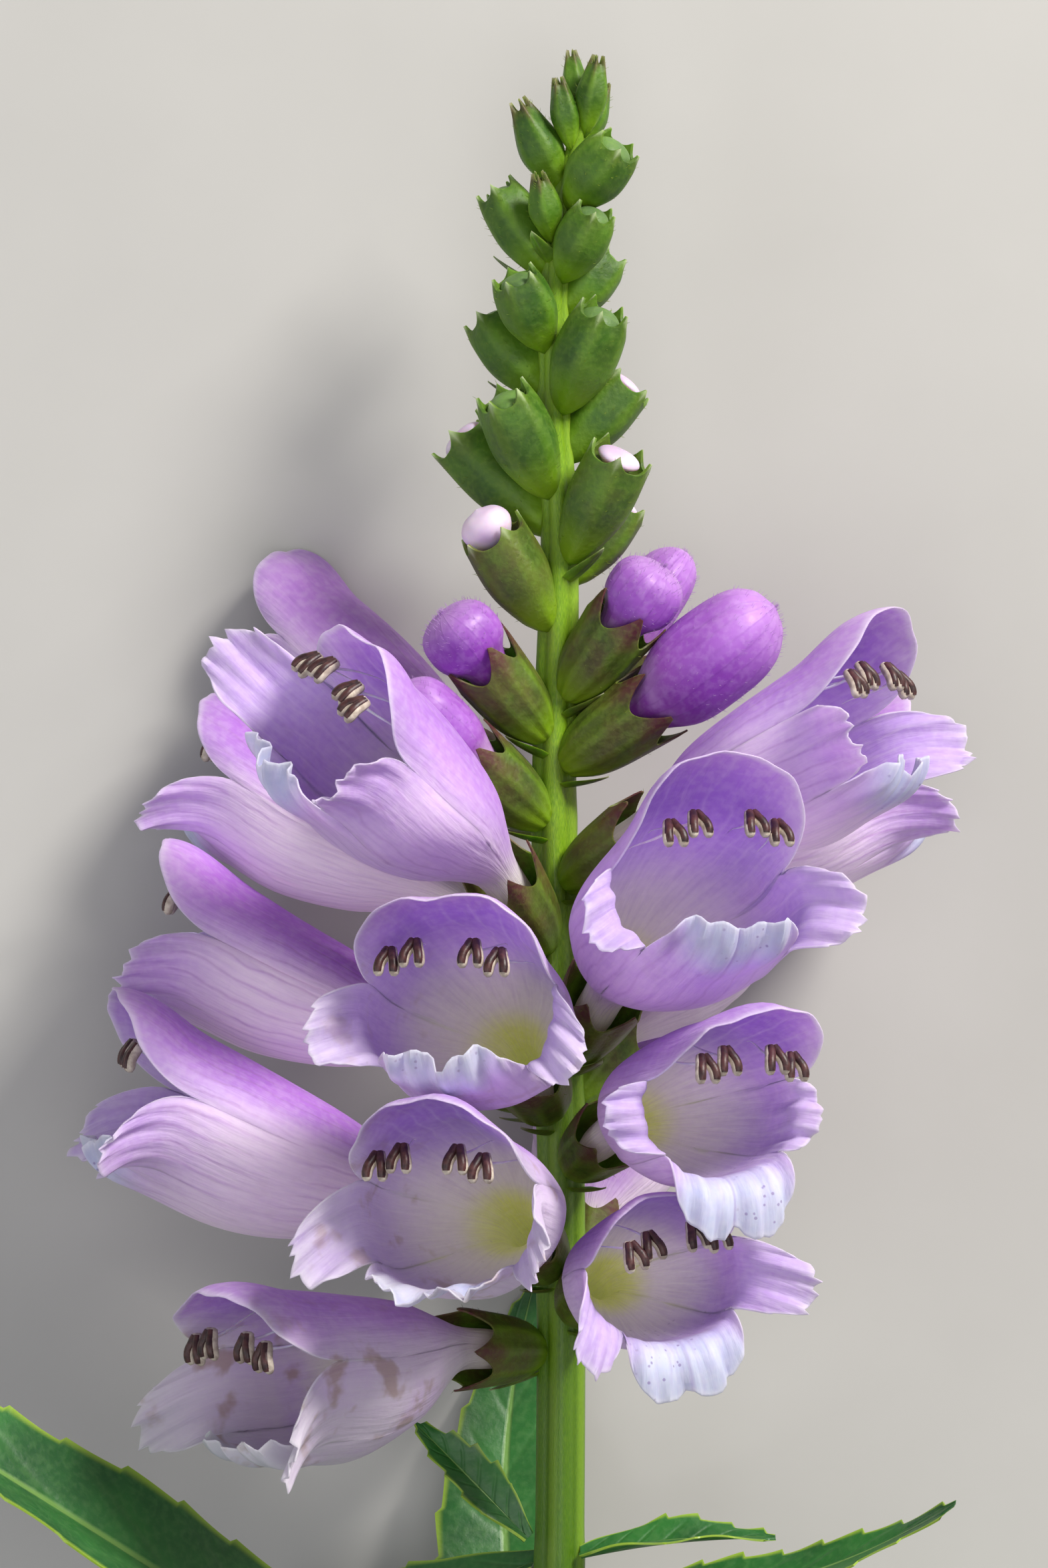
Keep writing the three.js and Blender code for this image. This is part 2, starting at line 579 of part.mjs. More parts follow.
// dome is how far the pale corolla stands out, and 0 where the bud is still closed.
// bract is the length of the bract below the bud, where one shows.
const GREEN_BUDS = [
  { height: 70.6, rank: FRONT_LEFT, azimuth: -66, elevation: 56, length: 8.2, width: 5, dome: 3.2 },
  { height: 74, rank: BACK_RIGHT, azimuth: 105, elevation: 54, length: 7, width: 4.2, dome: 1.4 },
  {
    height: 75.6, rank: FRONT_RIGHT, azimuth: 52, elevation: 58, length: 9, width: 4.9, dome: 1.5,
    bract: 4,
  },
  { height: 77.8, rank: BACK_LEFT, azimuth: -104, elevation: 46, length: 9.8, width: 5, dome: 1.8 },
  { height: 80.5, rank: FRONT_LEFT, azimuth: -50, elevation: 58, length: 8.4, width: 4.9, dome: 0 },
  {
    height: 83.2, rank: BACK_RIGHT, azimuth: 98, elevation: 50, length: 7.2, width: 4.4, dome: 1.4,
    bract: 4,
  },
  { height: 86.8, rank: FRONT_RIGHT, azimuth: 48, elevation: 60, length: 8.2, width: 4.8, dome: 0 },
  {
    height: 88, rank: BACK_LEFT, azimuth: -106, elevation: 52, length: 7.4, width: 4.5, dome: 0,
    bract: 5.6,
  },
  { height: 91.4, rank: FRONT_LEFT, azimuth: -44, elevation: 58, length: 6, width: 4.2, dome: 0 },
  {
    height: 93.8, rank: BACK_RIGHT, azimuth: 110, elevation: 50, length: 6, width: 3.8, dome: 0,
    bract: 5,
  },
  { height: 96.6, rank: FRONT_RIGHT, azimuth: 50, elevation: 56, length: 5.8, width: 3.9, dome: 0 },
  {
    height: 97, rank: BACK_LEFT, azimuth: -100, elevation: 58, length: 7.4, width: 4, dome: 0,
    bract: 5.4,
  },
  { height: 101, rank: BACK_RIGHT, azimuth: 160, elevation: 58, length: 5, width: 3.2, dome: 0 },
  {
    height: 99.5, rank: FRONT_LEFT, azimuth: -25, elevation: 64, length: 5, width: 2.6, dome: 0,
    bract: 3,
  },
  { height: 102, rank: FRONT_RIGHT, azimuth: 60, elevation: 46, length: 6, width: 4.5, dome: 0 },
  { height: 103.4, rank: BACK_LEFT, azimuth: -76, elevation: 62, length: 7, width: 3.4, dome: 0 },
  { height: 106.4, rank: FRONT_LEFT, azimuth: -50, elevation: 76, length: 5, width: 2.2, dome: 0 },
  { height: 106.4, rank: BACK_RIGHT, azimuth: 100, elevation: 70, length: 5, width: 2.2, dome: 0 },
  {
    height: 107.6, rank: FRONT_RIGHT, azimuth: 45, elevation: 76, length: 5.4, width: 2.4, dome: 0,
  },
  { height: 108.6, rank: BACK_LEFT, azimuth: -140, elevation: 80, length: 5, width: 2, dome: 0 },
];

const LEAVES = {
  leaf_upper_left: {
    height: 0.9, rank: FRONT_LEFT, azimuth: -96, elevation: 45, roll: -50, length: 11.9, width: 4.4,
    teeth: 6, droop: 0, fold: 30, start: 2.15,
  },
  leaf_upper_right: {
    height: 1, rank: FRONT_RIGHT, azimuth: 80, elevation: 12, roll: 20, length: 14.5, width: 4.2,
    teeth: 6, droop: 0.12, fold: 30, start: 0.8,
  },
  leaf_middle_left: {
    height: 0.4, rank: BACK_LEFT, azimuth: -108, elevation: -20, roll: -35, length: 36, width: 8.6,
    teeth: 9, droop: 0.05, fold: 20, start: 1.1,
  },
  leaf_middle_right: {
    height: -1.2, rank: BACK_RIGHT, azimuth: 84, elevation: -12, roll: 30, length: 27, width: 5.8,
    teeth: 9, droop: -0.55, fold: 20, start: 1.3,
  },
  leaf_behind: {
    height: -14, rank: BACK_LEFT, azimuth: -148, elevation: 60, roll: -32, length: 34, width: 10.6,
    teeth: 9, droop: 0, fold: 8, sweep: -0.28, start: 2.6,
  },
  leaf_lower_left: {
    height: -19.6, rank: FRONT_LEFT, azimuth: -62, elevation: 34, roll: -40, length: 80, width: 13,
    teeth: 15, droop: 0.03, fold: 18, start: 2.2,
  },
  leaf_lower_right: {
    height: -19, rank: BACK_RIGHT, azimuth: 104, elevation: 18.5, roll: 30, length: 50, width: 10,
    teeth: 10, droop: 0.1, fold: 18, start: 0.9,
  },
};

function material(colour, roughness) {
  return new THREE.MeshStandardMaterial({ color: colour, roughness, metalness: 0, side: THREE.FrontSide });
}

const plant = new THREE.Group();
function add(name, geometry, colour, roughness) {
  const mesh = new THREE.Mesh(geometry, material(colour, roughness));
  mesh.name = name;
  plant.add(mesh);
}

const green = [stemBar(), ...GREEN_BUDS.map(greenBud)];
for (const [name, place] of Object.entries(FLOWERS)) {
  const flower = { ...place, calyxSize: Math.max(place.size, 0.95), frame: stance(place) };
  add('corolla_' + name, corolla(flower), PETAL_COLOUR, 0.6);
  green.push(calyx(flower), bract(place, 4));
}
for (const [name, place] of Object.entries(PURPLE_BUDS)) {
  const flower = { ...place, frame: stance(place) };
  add('bud_' + name, purpleBud(flower), BUD_COLOUR, 0.55);
  green.push(calyx(flower), bract(place, 3.6));
}
let domes = 0;
for (const bud of GREEN_BUDS) {
  if (bud.dome) add('bud_pale_' + ++domes, budDome(bud), DOME_COLOUR, 0.55);
  if (bud.bract) green.push(bract(bud, bud.bract));
}
add('stem', joined(green), STEM_COLOUR, 0.5);
for (const [name, place] of Object.entries(LEAVES)) add(name, leaf(place), LEAF_COLOUR, 0.45);

// The origin is the middle of the plant's box, on the surface.
const middle = new THREE.Box3().setFromObject(plant).getCenter(vec(0, 0, 0));
plant.children.forEach((mesh) => mesh.geometry.translate(-middle.x, -middle.y, 0));

export default plant;
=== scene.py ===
# %% [markdown]
# # A cut stem of obedient plant
# A cut stem lies on a pale table, seen from above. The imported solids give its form: a square stem, lance
# leaves, a spike of hooded lilac flowers, purple buds above them and green buds up to the tip. Each solid is
# coarse, so this lesson grows a fine piece over each one from the same formulas, and then colours it. Blender
# works in metres and the plant is described in millimetres, so every mesh is scaled once, when it is made.

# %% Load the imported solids
import bmesh
import bpy
import math
import numpy as np
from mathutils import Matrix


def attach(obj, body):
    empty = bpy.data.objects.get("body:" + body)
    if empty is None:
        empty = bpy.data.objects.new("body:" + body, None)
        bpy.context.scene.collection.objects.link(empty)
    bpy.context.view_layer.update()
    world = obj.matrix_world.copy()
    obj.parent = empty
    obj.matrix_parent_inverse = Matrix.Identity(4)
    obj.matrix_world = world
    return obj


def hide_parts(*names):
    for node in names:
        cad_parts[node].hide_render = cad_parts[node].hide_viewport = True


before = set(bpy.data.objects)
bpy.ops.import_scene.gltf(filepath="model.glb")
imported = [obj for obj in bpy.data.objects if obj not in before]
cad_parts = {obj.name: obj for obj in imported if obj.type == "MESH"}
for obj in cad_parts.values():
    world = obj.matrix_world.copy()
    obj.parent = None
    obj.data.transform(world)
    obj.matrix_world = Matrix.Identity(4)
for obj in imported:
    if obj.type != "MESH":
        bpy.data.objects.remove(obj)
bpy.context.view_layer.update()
MM = 0.001
print("solids:", len(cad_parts))

# %% [markdown]
# ## Camera
# The flowers are seen square on from about half a metre, so the camera hangs over the lying stem and looks
# straight down. From further away the open mouths would look flat, and from nearer they would swell. The
# plant is drawn in millimetres of its own, and ORIGIN is where the middle of the whole part falls in them.

# %% Camera
PICTURE = (1568, 2347)
PICTURE_MIDDLE = (-2.65, 58.675)
ORIGIN = (-7.5963, 18.8297)
POINTS_PER_MM = 20
EYE_HEIGHT = 450
STEM_HEIGHT = 17
SENSOR = 36

lens = bpy.data.cameras.new("camera")
lens.sensor_width = SENSOR
lens.lens = SENSOR * EYE_HEIGHT * POINTS_PER_MM / PICTURE[1]
lens.clip_start = 0.01
camera = bpy.data.objects.new("camera", lens)
right, ahead = (middle - origin for middle, origin in zip(PICTURE_MIDDLE, ORIGIN))
camera.location = (right * MM, ahead * MM, (STEM_HEIGHT + EYE_HEIGHT) * MM)
bpy.context.scene.collection.objects.link(camera)
bpy.context.scene.camera = camera
print("lens:", round(lens.lens, 1), "mm")

# %% [markdown]
# ## Light
# Petals are thin, and look alive when light comes through them. A soft panel at the upper right shines across
# the spike, one fills from the left, and one hangs above. A dim even sky opens the shadows.

# %% Light
PLANT_MIDDLE = (0, 0.03, 0.02)


def panel(name, place, size, power, colour):
    """A square soft light that faces the flowers. Its place and size are in metres."""
    data = bpy.data.lights.new(name, "AREA")
    data.size = size
    data.energy = power
    data.color = colour
    lamp = bpy.data.objects.new(name, data)
    lamp.location = place
    aim = np.array(PLANT_MIDDLE) - np.array(place)
    tilt = math.acos(-aim[2] / np.linalg.norm(aim))
    lamp.rotation_euler = (tilt, 0, math.atan2(aim[1], aim[0]) - math.pi / 2)
    bpy.context.scene.collection.objects.link(lamp)


panel("key_panel", (0.40, 0.50, 0.36), 0.20, 6.9, (1.0, 0.96, 0.90))
panel("fill_panel", (-0.55, -0.05, 0.45), 0.55, 1.3, (0.92, 0.94, 1.0))
panel("top_panel", (0.05, -0.10, 0.85), 0.45, 1.8, (1.0, 0.99, 0.98))
sky = bpy.data.worlds.new("sky")
sky.use_nodes = True
sky_light = sky.node_tree.nodes["Background"]
sky_light.inputs["Color"].default_value = (0.92, 0.94, 1.0, 1)
sky_light.inputs["Strength"].default_value = 0.2
bpy.context.scene.world = sky
bpy.context.scene.view_settings.view_transform = "Standard"
print("soft panels:", len(bpy.data.lights))

# %% [markdown]
# ## Shader expressions
# A material is a small sum: so much lilac here, so much white there. Written node by node that sum is hard to
# read, so a small class wraps a socket and lets Python's own signs add the Math nodes.

# %% Shader expressions
class Value:
    """A number that varies over a surface. Its signs add Math nodes."""

    def __init__(self, finish, socket):
        self.finish = finish
        self.socket = socket

    def maths(self, operation, *values):
        return self.finish.node("ShaderNodeMath", {"operation": operation}, dict(enumerate(values)))

    def __add__(self, other):
        return self.maths("ADD", self, other)

    def __sub__(self, other):
        return self.maths("SUBTRACT", self, other)

    def __rsub__(self, other):
        return self.maths("SUBTRACT", other, self)

    def __mul__(self, other):
        return self.maths("MULTIPLY", self, other)

    def __pow__(self, other):
        return self.maths("POWER", self, other)

    __radd__ = __add__
    __rmul__ = __mul__

    def size(self):
        return self.maths("ABSOLUTE", self)

    def wave(self):
        return self.maths("SINE", self)

    def turn_from(self, across):
        """The angle round an axis, from how far up and how far across it a point lies."""
        return self.maths("ARCTAN2", self, across)

    def held(self):
        """The same, kept between 0 and 1."""
        return self.finish.node("ShaderNodeClamp", {}, {0: self})

    def rise(self, low, high):
        """0 below low, 1 above high, and a smooth rise between them."""
        reach = {"Value": self, "From Min": low, "From Max": high}
        return self.finish.node("ShaderNodeMapRange", {"interpolation_type": "SMOOTHSTEP"}, reach)


class Finish:
    """A material whose Principled shader's sockets are set from expressions."""

    def __init__(self, name, **constants):
        self.material = bpy.data.materials.new(name)
        self.material.use_nodes = True
        self.material.cycles.emission_sampling = "NONE"
        self.tree = self.material.node_tree
        self.shader = self.tree.nodes["Principled BSDF"]
        for socket, value in constants.items():
            self.shader.inputs[socket.replace("_", " ")].default_value = value

    def node(self, kind, settings, inputs, output=0):
        """Any node: its settings first, then the values or links of its sockets."""
        made = self.tree.nodes.new(kind)
        for name, value in settings.items():
            setattr(made, name, value)
        for key, value in inputs.items():
            if isinstance(value, Value):
                self.tree.links.new(value.socket, made.inputs[key])
            else:
                made.inputs[key].default_value = value
        return Value(self, made.outputs[output])

    def fact(self, name):
        """The three numbers that a mesh holds at each point under this name."""
        stored = self.node("ShaderNodeAttribute", {"attribute_name": name}, {}, "Vector")
        return [self.node("ShaderNodeSeparateXYZ", {}, {0: stored}, axis) for axis in range(3)]

    def place(self):
        """Where a point is on the part, in metres."""
        return self.node("ShaderNodeTexCoord", {}, {}, "Object")

    def noise(self, scale, detail, place=None):
        inputs = {"Vector": place or self.place(), "Scale": scale, "Detail": detail}
        return self.node("ShaderNodeTexNoise", {}, inputs)

    def mix(self, share, first, second):
        """One colour turning into another. Each is an expression or a painter's code."""
        first, second = (paint(colour) if isinstance(colour, str) else colour for colour in (first, second))
        return self.node("ShaderNodeMix", {"data_type": "RGBA"}, {0: share, 6: first, 7: second}, 2)

    def lay(self, share, colour):
        """Lays one more colour over the base colour, as much of it as share says."""
        self.colour = self.mix(share, self.colour, colour)

    def feed(self, socket, value):
        self.tree.links.new(value.socket, self.shader.inputs[socket])

    def bump(self, height, distance):
        inputs = {"Height": height, "Distance": distance * MM, "Strength": 1.0}
        self.feed("Normal", self.node("ShaderNodeBump", {}, inputs))

    def complete(self, roughness, height, distance):
        """Feeds the shader: the laid colour, a roughness and a bump."""
        self.feed("Base Color", self.colour)
        self.feed("Roughness", roughness)
        self.bump(height, distance)
        print(self.material.name, "has", len(self.tree.nodes), "nodes")


def paint(code):
    """A colour as a painter names it, #rrggbb, as the light that a shader works in."""
    parts = [int(code[i:i + 2], 16) / 255 for i in (1, 3, 5)]
    return tuple(c / 12.92 if c <= 0.04045 else ((c + 0.055) / 1.055) ** 2.4 for c in parts) + (1,)


print("lilac is", [round(c, 2) for c in paint("#b493d6")])

# %% [markdown]
# ## Table
# The table is a plain pale sheet just under the stem, wide enough to fill the picture from every side. A
# faint paper grain keeps it from looking like an empty background.

# %% Table
TABLE_REACH = 3.0
TABLE_DROP = 0.0002


def make_table():
    mesh = bpy.data.meshes.new("table")
    signs = ((-1, -1), (1, -1), (1, 1), (-1, 1))
    corners = [(x * TABLE_REACH, y * TABLE_REACH, -TABLE_DROP) for x, y in signs]
    mesh.from_pydata(corners, [], [(0, 1, 2, 3)])
    paper = Finish("table_paper", Roughness=0.8)
    paper.feed("Base Color", paper.mix(paper.noise(60, 4), "#b9b8b4", "#c1c0bc"))
    mesh.materials.append(paper.material)
    table = bpy.data.objects.new("table", mesh)
    bpy.context.scene.collection.objects.link(table)


make_table()
print("table:", 2 * TABLE_REACH, "m wide")

# %% [markdown]
# ## Curves and places on the stem
# Everything on the plant grows from a seat on the stem, in a direction of its own. A stance holds both, and
# a point is then so far outward, so far sideways and so far up. The flowers nod, so their points run along a
# bent axis. Knots of [position, value] draw every outline, and what comes near the table settles on it.

# %% Curves and places on the stem
CUT_END = -76
STEM_TIP = 111
STEM_SWAY = [[CUT_END, -3], [-30, -0.6], [0, 0], [32, 0.1], [57, -0.4], [77, 0], [90, -0.5], [100, 0],
             [106, 1.2], [STEM_TIP, 2.4]]
STEM_LIFT = [[CUT_END, 1.95], [-52, 4.2], [-25, 12], [0, 16], [25, 16.8], [111, 16.8]]
STEM_RADIUS = [[CUT_END, 1.95], [0, 1.85], [40, 1.75], [66, 1.6], [80, 1.35], [95, 1.1], [106, 0.8],
               [STEM_TIP, 0.5]]
FLAT_OF_SQUARE = 0.8
SOFT = 1.2
NOD_LENGTH = 24


def curve(knots, at):
    """Smooth curve through [position, value] knots, level past both ends."""
    x, y = np.array(knots, float).T
    at = np.clip(np.asarray(at, float), x[0], x[-1])
    i = np.clip(np.searchsorted(x, at, side="left") - 1, 0, len(x) - 2)
    span = x[i + 1] - x[i]
    t = (at - x[i]) / span
    before, after = np.maximum(i - 1, 0), np.minimum(i + 2, len(x) - 1)
    leaving = (y[i + 1] - y[before]) / (x[i + 1] - x[before]) * span
    arriving = (y[after] - y[i]) / (x[after] - x[i]) * span
    return (y[i] * (2 * t ** 3 - 3 * t ** 2 + 1) + leaving * (t ** 3 - 2 * t ** 2 + t)
            + y[i + 1] * (3 * t ** 2 - 2 * t ** 3) + arriving * (t ** 3 - t ** 2))


def settle(points, clearance):
    """Eases points that come near the table on to it, and keeps the higher one of two above the other."""
    height = points[..., 2] - clearance
    eased = clearance + SOFT * np.exp(np.minimum(height / SOFT, 1) - 1)
    points[..., 2] = np.where(height < SOFT, eased, points[..., 2])
    return points


def stem_centre(height):
    return np.array([curve(STEM_SWAY, height), height, curve(STEM_LIFT, height)])


def unit(vectors):
    return vectors / np.maximum(np.linalg.norm(vectors, axis=-1, keepdims=True), 1e-9)


def smooth(low, high, x):
    t = np.clip((x - low) / (high - low), 0, 1)
    return t * t * (3 - 2 * t)


class Stance:
    """A seat on the stem, and the outward, upward and sideways directions of what grows there."""

    def __init__(self, height, rank, azimuth, elevation, nod=0, roll=0):
        a, e, r = math.radians(azimuth), math.radians(elevation), math.radians(roll)
        self.out = np.array([math.cos(e) * math.sin(a), math.sin(e), math.cos(e) * math.cos(a)])
        up = np.array([-math.sin(e) * math.sin(a), math.cos(e), -math.sin(e) * math.cos(a)])
        self.up = up * math.cos(r) + np.cross(self.out, up) * math.sin(r)
        self.side = np.cross(self.up, self.out)
        corner = abs(rank % 90 - 45) / 45
        radius = curve(STEM_RADIUS, height) * (FLAT_OF_SQUARE + (1 - FLAT_OF_SQUARE) * corner)
        facing = np.array([math.sin(math.radians(rank)), 0, math.cos(math.radians(rank))])
        self.seat = stem_centre(height) + facing * radius
        self.nod = math.radians(nod)

    def at(self, x, y, z):
        x, y, z = (np.asarray(v, float)[..., None] for v in (x, y, z))
        return self.seat + x * self.out + y * self.side + z * self.up

    def ring(self, x, radius, turn):
        """Points round the outward axis."""
        return self.at(x, radius * np.cos(turn), radius * np.sin(turn))

    def ends(self, first, last):
        """Two points on the outward axis, which close a shape."""
        return self.at(first, 0, 0), self.at(last, 0, 0)

    def nodding(self, x, y, z):
        if not self.nod:
            return self.at(x, y, z)
        bent = np.clip(x, 0, NOD_LENGTH)
        turn = self.nod * bent / NOD_LENGTH
        reach = NOD_LENGTH / self.nod
        rest = x - bent
        return self.at(reach * np.sin(turn) + rest * np.cos(turn) + z * np.sin(turn), y,
                       -reach * (1 - np.cos(turn)) - rest * np.sin(turn) + z * np.cos(turn))


print("the stem is", round(2 * float(curve(STEM_RADIUS, 40)), 1), "mm across under the flowers")

# %% [markdown]
# ## One way to make every piece
# A petal cup, a bud, a leaf and a stem are all rings of points, one after another, closed at both ends. So
# one helper lofts them. At each point it also stores a few facts, such as how far along the petal the point
# lies, and the materials read those facts. That keeps veins and edges in their places on every flower.

# %% One way to make every piece
SHARP_ANGLE = 60


class Growth:
    """Lofted shapes in millimetres, gathered into one mesh."""

    def __init__(self):
        self.points = []
        self.faces = []
        self.materials = []
        self.facts = {}
        self.count = 0

    def loft(self, rings, start, end, material=0, **facts):
        """rings is rows of rings of points; a fact is three numbers for each of them, or one set for all."""
        rows, columns = rings.shape[:2]
        first = self.count
        i = np.arange(columns)
        j = (i + 1) % columns
        low = first + columns * np.arange(rows - 1)[:, None]
        quads = np.stack([low + i, low + j, low + columns + j, low + columns + i], -1).reshape(-1, 4)
        last = first + columns * (rows - 1)
        tip = first + rows * columns
        caps = [(tip, first + b, first + a) for a, b in zip(i, j)]
        caps += [(tip + 1, last + a, last + b) for a, b in zip(i, j)]
        self.faces += quads.tolist() + caps
        self.materials += [material] * (len(quads) + len(caps))
        self.points += [rings.reshape(-1, 3), np.array([start, end], float)]
        for name in set(facts) | set(self.facts):
            self.facts.setdefault(name, [np.zeros((self.count, 3))])
            values = np.broadcast_to(np.asarray(facts.get(name, (0, 0, 0)), float), rings.shape)
            ends = np.stack([values[0].mean(0), values[-1].mean(0)])
            self.facts[name] += [values.reshape(-1, 3), ends]
        self.count += rows * columns + 2

    def piece(self, name, slot, node, *finishes):
        """The finished object, riding with the plant and standing for its coarse node."""
        points = np.concatenate(self.points) - np.array([ORIGIN[0], ORIGIN[1], 0])
        mesh = bpy.data.meshes.new(name)
        mesh.from_pydata((points * MM).tolist(), [], self.faces)
        for fact, values in self.facts.items():
            stored = mesh.attributes.new(fact, "FLOAT_VECTOR", "POINT")
            stored.data.foreach_set("vector", np.concatenate(values).astype(np.float32).ravel())
        for finish in finishes:
            mesh.materials.append(finish.material)
        mesh.polygons.foreach_set("material_index", self.materials)
        shell = bmesh.new()
        shell.from_mesh(mesh)
        bmesh.ops.recalc_face_normals(shell, faces=shell.faces)
        shell.to_mesh(mesh)
        shell.free()
        mesh.shade_smooth()
        mesh.set_sharp_from_angle(angle=math.radians(SHARP_ANGLE))
        made = bpy.data.objects.new(name, mesh)
        bpy.context.scene.collection.objects.link(made)
        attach(made, "root")
        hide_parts(node)
        print(name, len(self.faces), "faces")


def ring_of(count):
    """Angles once round, in radians."""
    return np.arange(count) * 2 * math.pi / count


def facts_over(rings, *values):
    """A fact for each point of some rings, from three numbers or grids of numbers."""
    return np.stack([np.broadcast_to(value, rings.shape[:2]) for value in values], -1)


def wall_normals(points):
    around = np.roll(points, -1, 1) - np.roll(points, 1, 1)
    return unit(np.cross(around, np.gradient(points, axis=0)))

# %% [markdown]
# ## The petal tube
# The corolla is one petal tube: narrow in the calyx, then swelling to a wide mouth with a hood over it, two
# side lobes and a lower lip. One formula with a few numbers for each flower keeps the fifteen one kind, and
# each still opens, nods and curls in its own way.

# %% The petal tube
TUBE = 22
BACK = [[0, 0.9], [2, 1.25], [5.6, 1.45], [8.5, 2.3], [12, 3.4], [17, 4.1], [TUBE, 4.5]]
BELLY = [[0, -0.9], [2, -1.25], [5.6, -1.5], [8.5, -3.1], [12, -5.4], [17, -7.1], [TUBE, -7.2]]
HALF_WIDTH = [[0, 0.9], [2, 1.25], [5.6, 1.45], [8.5, 3], [12, 5.1], [17, 6.7], [TUBE, 6.8]]
RIGHT, HOOD, LEFT, LIP = range(4)
# each lobe: its first and last angle, how far it turns to its own heading, its outline's power, its columns
LOBES = {RIGHT: (-42, 18, 0.85, 3.4, 40), HOOD: (18, 162, 0.2, 2.2, 46), LEFT: (162, 222, 0.85, 3.4, 40),
         LIP: (222, 318, 0.7, 3.6, 44)}


def mouth_columns():
    """Angle round the mouth, place across the lobe and lobe of each column, closer beside the notches."""
    angle, across, lobe = [], [], []
    for kind, (start, end, _, _, count) in LOBES.items():
        place = np.sin(math.pi / 2 * (np.arange(count) / count * 2 - 1))
        angle.append(start + (place + 1) / 2 * (end - start))
        across.append(place)
        lobe.append(np.full(count, kind))
    return np.concatenate(angle), np.concatenate(across), np.concatenate(lobe)


def tube_point(angle, x):
    top, bottom = curve(BACK, x), curve(BELLY, x)
    turn = np.radians(angle)
    return np.stack([x, curve(HALF_WIDTH, x) * np.cos(turn),
                     (top + bottom) / 2 + (top - bottom) / 2 * np.sin(turn)], -1)


ANGLE, ACROSS, LOBE = mouth_columns()
print("columns round a mouth:", len(ANGLE))

# %% [markdown]
# ## How a flower opens
# Past the tube each lobe leans outward step by step, by an angle that changes along it. The hood first arches
# and then bends down over the mouth, the lip curls up or hangs down, and the side lobes spread.

# %% How a flower opens
LIP_LENGTH = 6.2
HOOD_LENGTH = 8.6
HOOD_LEAN = [[0.35, 15], [0.7, 3], [1, -24]]
HOOD_EDGE_LEAN = [[0.5, 0], [1, -10]]
LIP_UP = [[0.4, -8], [1, -66]]
LIP_DOWN = [[0.35, 62], [0.65, 98], [1, 108]]
LOBE_STEPS = 8
COROLLA_SEAT = 2.6
PETAL = 0.3


def leaning(knots, start, share):
    """A lean along a lobe that begins with the tube's own slope."""
    own = curve([[0, 0]] + knots, share)
    return own + start * curve([[0, 1]] + [[x, 0] for x, _ in knots], share)


class Flower:
    """One corolla: how it sits, how large it is, and how each lobe opens."""

    def __init__(self, place, size, stretch, lip, hood, left, right, stamens):
        self.stance = Stance(*place)
        self.size, self.stretch, self.lip, self.stamens = size, stretch, lip, stamens
        self.heading = {RIGHT: right[0], HOOD: 90, LEFT: left[0], LIP: 270}
        self.lean = {RIGHT: right[1], LEFT: left[1]}
        self.length = {RIGHT: right[2], HOOD: hood, LEFT: left[2], LIP: LIP_LENGTH}

    def lean_at(self, kind, across, share, start):
        if kind == HOOD:
            middle, edge = leaning(HOOD_LEAN, start, share), leaning(HOOD_EDGE_LEAN, start, share)
            return middle + (edge - middle) * across ** 2
        if kind == LIP:
            curled, hanging = leaning(LIP_UP, start, share), leaning(LIP_DOWN, start, share)
            return curled + (hanging - curled) * self.lip
        return leaning([[0.4, self.lean[kind] * 0.55], [1, self.lean[kind]]], start, share)

    def shape(self, angle, across, kind, reach):
        """The middle of the petal's wall in the flower's own frame: x outward, y sideways, z to the hood."""
        points = tube_point(angle, np.minimum(reach, TUBE))
        before = tube_point(angle, np.full_like(angle, TUBE - 0.5))
        rim = tube_point(angle, np.full_like(angle, float(TUBE)))
        height = (curve(BACK, TUBE) - curve(BELLY, TUBE)) / 2
        turn = np.radians(angle)
        own = unit(np.stack([0 * turn, np.cos(turn) / curve(HALF_WIDTH, TUBE), np.sin(turn) / height], -1))
        heading = math.radians(self.heading[kind])
        wanted = np.array([0, math.cos(heading), math.sin(heading)])
        outward = unit(own + (wanted - own) * LOBES[kind][2])
        start = np.degrees(np.arctan2(((rim - before) * own).sum(-1), 0.5))
        step = np.maximum(reach - TUBE, 0) / LOBE_STEPS
        for i in range(LOBE_STEPS):
            lean = np.radians(self.lean_at(kind, across, (i + 0.5) * step / self.length[kind], start))
            points[..., 0] += step * np.cos(lean)
            points += outward * (step * np.sin(lean))[..., None]
        return points

    def place(self, points, clearance):
        """From the flower's own frame to the plant's."""
        x = points[..., 0]
        x = (x + np.minimum(x, TUBE) * (self.stretch - 1)) * self.size
        placed = self.stance.nodding(x + COROLLA_SEAT, points[..., 1] * self.size, points[..., 2] * self.size)
        return settle(placed, clearance)

    def inner_point(self, angle, reach, inward):
        """A point under the hood, so far inside the petal's wall."""
        angle, reach = np.broadcast_arrays(np.asarray(angle, float), np.asarray(reach, float))
        start, end = LOBES[HOOD][:2]

        def wall(a, r):
            return self.shape(a, (2 * a - start - end) / (end - start), HOOD, r)

        around = wall(angle + 1, reach) - wall(angle - 1, reach)
        along = wall(angle, reach + 0.1) - wall(angle, reach - 0.1)
        inside = wall(angle, reach) - unit(np.cross(around, along)) * np.asarray(inward)[..., None]
        return self.place(inside, PETAL)


print("a flower is", TUBE + HOOD_LENGTH, "mm long to the tip of its hood, before its own size")

# %% [markdown]
# ## Frills, teeth and rims
# The side lobes end in a few blunt teeth, and the lip is frilled where the petal grew faster at its edge
# than behind it. A frill is a wave across the petal that grows towards the rim, and long soft folds run down
# the tube. The wall is two surfaces a third of a millimetre apart, which meet in a thin rounded rim, because
# a single sheet would look like paper where it turns.

# %% Frills, teeth and rims
ROWS = 46
NOTCH = 0.14
FULL_REACH = 30
